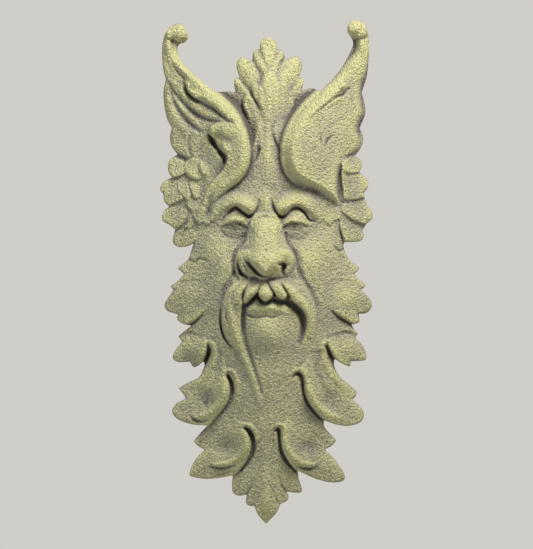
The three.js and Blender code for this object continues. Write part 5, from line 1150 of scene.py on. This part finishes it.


# Cast stone: a sandy cement mix poured in a mould, of one cream colour, with painted shade that turns the
# hollows a cool grey and the narrowest ones darker; a dull, open, slightly sparkling grain all over.
castStone = {
    # raised is the stone's own colour; middle, hollow and deep are painted shade for the hollows, which the
    # grain and clouds also shift at random
    "raised": "#d9d7a3",
    "middle": "#c4c0a0",
    "hollow": "#a39d91",
    "deep": "#746e67",
    "roughness": 0.88,
    "grainSize": 2.1,       # mm, sand grains
    "fineSize": 1.3,
    "cloudSize": 34.0,      # mm, uneven brushing
    "grainDepth": 5.0,      # mm
}


def castStoneMaterial():
    material = bpy.data.materials.new("castStone")
    material.use_nodes = True
    tree = material.node_tree
    tree.nodes.clear()
    where = addNode(tree, "TexCoord").outputs["Object"]
    grains = addNode(tree, "TexNoise", {"Vector": where, "Scale": 1000 / castStone["grainSize"],
                                        "Detail": 2.0, "Roughness": 0.55})
    fine = addNode(tree, "TexNoise", {"Vector": where, "Scale": 1000 / castStone["fineSize"],
                                      "Detail": 1.0, "Roughness": 0.5})
    clouds = addNode(tree, "TexNoise", {"Vector": where, "Scale": 1000 / castStone["cloudSize"],
                                        "Detail": 4.0, "Roughness": 0.6})
    near = addNode(tree, "Attribute", attribute_name="paintedShadeNear").outputs["Fac"]
    middle = addNode(tree, "Attribute", attribute_name="paintedShadeMiddle").outputs["Fac"]
    wide = addNode(tree, "Attribute", attribute_name="paintedShadeWide").outputs["Fac"]
    # painted shade: near hollows darkest, middle and wide ones less, broken up by the grain and the clouds
    nearShare = addNode(tree, "Math", {0: near, 1: 0.20}, operation="MULTIPLY").outputs[0]
    middleShare = addNode(tree, "Math", {0: middle, 1: 0.10, 2: nearShare},
                          operation="MULTIPLY_ADD").outputs[0]
    wideShare = addNode(tree, "Math", {0: wide, 1: 0.05, 2: middleShare},
                        operation="MULTIPLY_ADD").outputs[0]
    grainShare = addNode(tree, "Math", {0: grains.outputs["Fac"], 1: -1.1, 2: wideShare},
                         operation="MULTIPLY_ADD").outputs[0]
    cloudShare = addNode(tree, "Math", {0: clouds.outputs["Fac"], 1: -1.2, 2: grainShare},
                         operation="MULTIPLY_ADD").outputs[0]
    paintedShadeAndMottle = addNode(tree, "MapRange", {"Value": cloudShare, "From Min": -1.75, "From Max": -0.25,
                                      "To Min": 0.0, "To Max": 1.0}).outputs["Result"]
    # the ramp runs from the stone's cream to the painted shade of the hollows
    tone = addNode(tree, "ValToRGB", {"Fac": paintedShadeAndMottle})
    ramp = tone.color_ramp
    ramp.elements[0].position = 0.12
    ramp.elements[0].color = linearColour(castStone["raised"])
    ramp.elements[1].position = 0.97
    ramp.elements[1].color = linearColour(castStone["deep"])
    for place, name in {0.42: "middle", 0.72: "hollow"}.items():
        ramp.elements.new(place).color = linearColour(castStone[name])
    bumps = addNode(tree, "Math", {0: fine.outputs["Fac"], 1: 0.4, 2: grains.outputs["Fac"]},
                    operation="MULTIPLY_ADD").outputs[0]
    bump = addNode(tree, "Bump", {"Height": bumps, "Strength": 0.9,
                                  "Distance": castStone["grainDepth"] / 1000})
    shader = addNode(tree, "BsdfPrincipled", {"Base Color": tone.outputs["Color"],
                                              "Roughness": castStone["roughness"],
                                              "IOR": 1.5, "Normal": bump.outputs["Normal"]})
    addNode(tree, "OutputMaterial", {"Surface": shader.outputs["BSDF"]})
    return material


mask.data.materials.append(castStoneMaterial())
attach(mask, "root")
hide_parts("mask")
print("castStone on the mask")

# The studio: a pale floor well below, a soft key from the upper right, a cool fill from the left
studio = {
    "floorHeight": -0.62,
    "floorSize": 5.0,
    "floorColour": "#d8d6d0",
    "airColour": "#dedcd6",
    "airStrength": 0.42,
    "backStrength": 0.86,
    "keyPlace": (0.33, -0.72, 0.86),
    "keySize": 0.4,
    "keyPower": 14.0,
    "keyColour": "#fffdf2",
    "fillPlace": (-1.3, -1.2, 0.2),
    "fillSize": 1.2,
    "fillPower": 5,
    "fillColour": "#e4ecff",
    "cameraDistance": 6.0,
    "frameLong": 549.0,     # px of the long side; one px is one mm
    "frameMiddle": (266.5, 274.5),
}

floorMesh = bpy.data.meshes.new("floor")
half = studio["floorSize"] / 2
level = studio["floorHeight"]
floorMesh.from_pydata([(-half, -half, level), (half, -half, level), (half, half, level),
                       (-half, half, level)], [], [(0, 1, 2, 3)])
floor = bpy.data.objects.new("floor", floorMesh)
bpy.context.scene.collection.objects.link(floor)
floorPaint = bpy.data.materials.new("mattPaint")
floorPaint.use_nodes = True
floorShader = floorPaint.node_tree.nodes["Principled BSDF"]
floorShader.inputs["Base Color"].default_value = linearColour(studio["floorColour"])
floorShader.inputs["Roughness"].default_value = 0.9
floor.data.materials.append(floorPaint)

world = bpy.data.worlds.new("studioAir")
world.use_nodes = True
air = world.node_tree.nodes["Background"]
air.inputs["Color"].default_value = linearColour(studio["airColour"])
air.inputs["Strength"].default_value = studio["airStrength"]
# what lies behind the mask is pale to the eye, while the light from all around stays low
behind = addNode(world.node_tree, "Background", {"Color": linearColour(studio["airColour"]),
                                                 "Strength": studio["backStrength"]})
seen = addNode(world.node_tree, "LightPath")
both = addNode(world.node_tree, "MixShader", {0: seen.outputs["Is Camera Ray"], 1: air.outputs[0],
                                              2: behind.outputs[0]})
world.node_tree.links.new(both.outputs[0], world.node_tree.nodes["World Output"].inputs["Surface"])
bpy.context.scene.world = world


def addLight(name, place, size, power, colour):
    light = bpy.data.lights.new(name, "AREA")
    light.size = size
    light.energy = power
    light.color = linearColour(colour)[:3]
    lamp = bpy.data.objects.new(name, light)
    lamp.location = place
    lamp.rotation_euler = (Vector((0, 0, 0)) - Vector(place)).to_track_quat("-Z", "Y").to_euler()
    bpy.context.scene.collection.objects.link(lamp)


addLight("key", studio["keyPlace"], studio["keySize"], studio["keyPower"], studio["keyColour"])
addLight("fill", studio["fillPlace"], studio["fillSize"], studio["fillPower"], studio["fillColour"])

# The camera looks straight at the wall from far off; its picture is 1 px to the mm at the outline
camera = bpy.data.cameras.new("camera")
camera.sensor_width = 36
camera.lens = 36 * studio["cameraDistance"] / (studio["frameLong"] / 1000)
camera.clip_end = 30
eye = bpy.data.objects.new("camera", camera)
eye.location = ((studio["frameMiddle"][0] - sheetPlace["originU"]) / 1000, -studio["cameraDistance"] - 0.012,
                (sheetPlace["originV"] - studio["frameMiddle"][1]) / 1000)
eye.rotation_euler = (math.pi / 2, 0, 0)
bpy.context.scene.collection.objects.link(eye)
bpy.context.scene.camera = eye
bpy.context.scene.view_settings.view_transform = "Standard"
print("stage, lights and camera set")
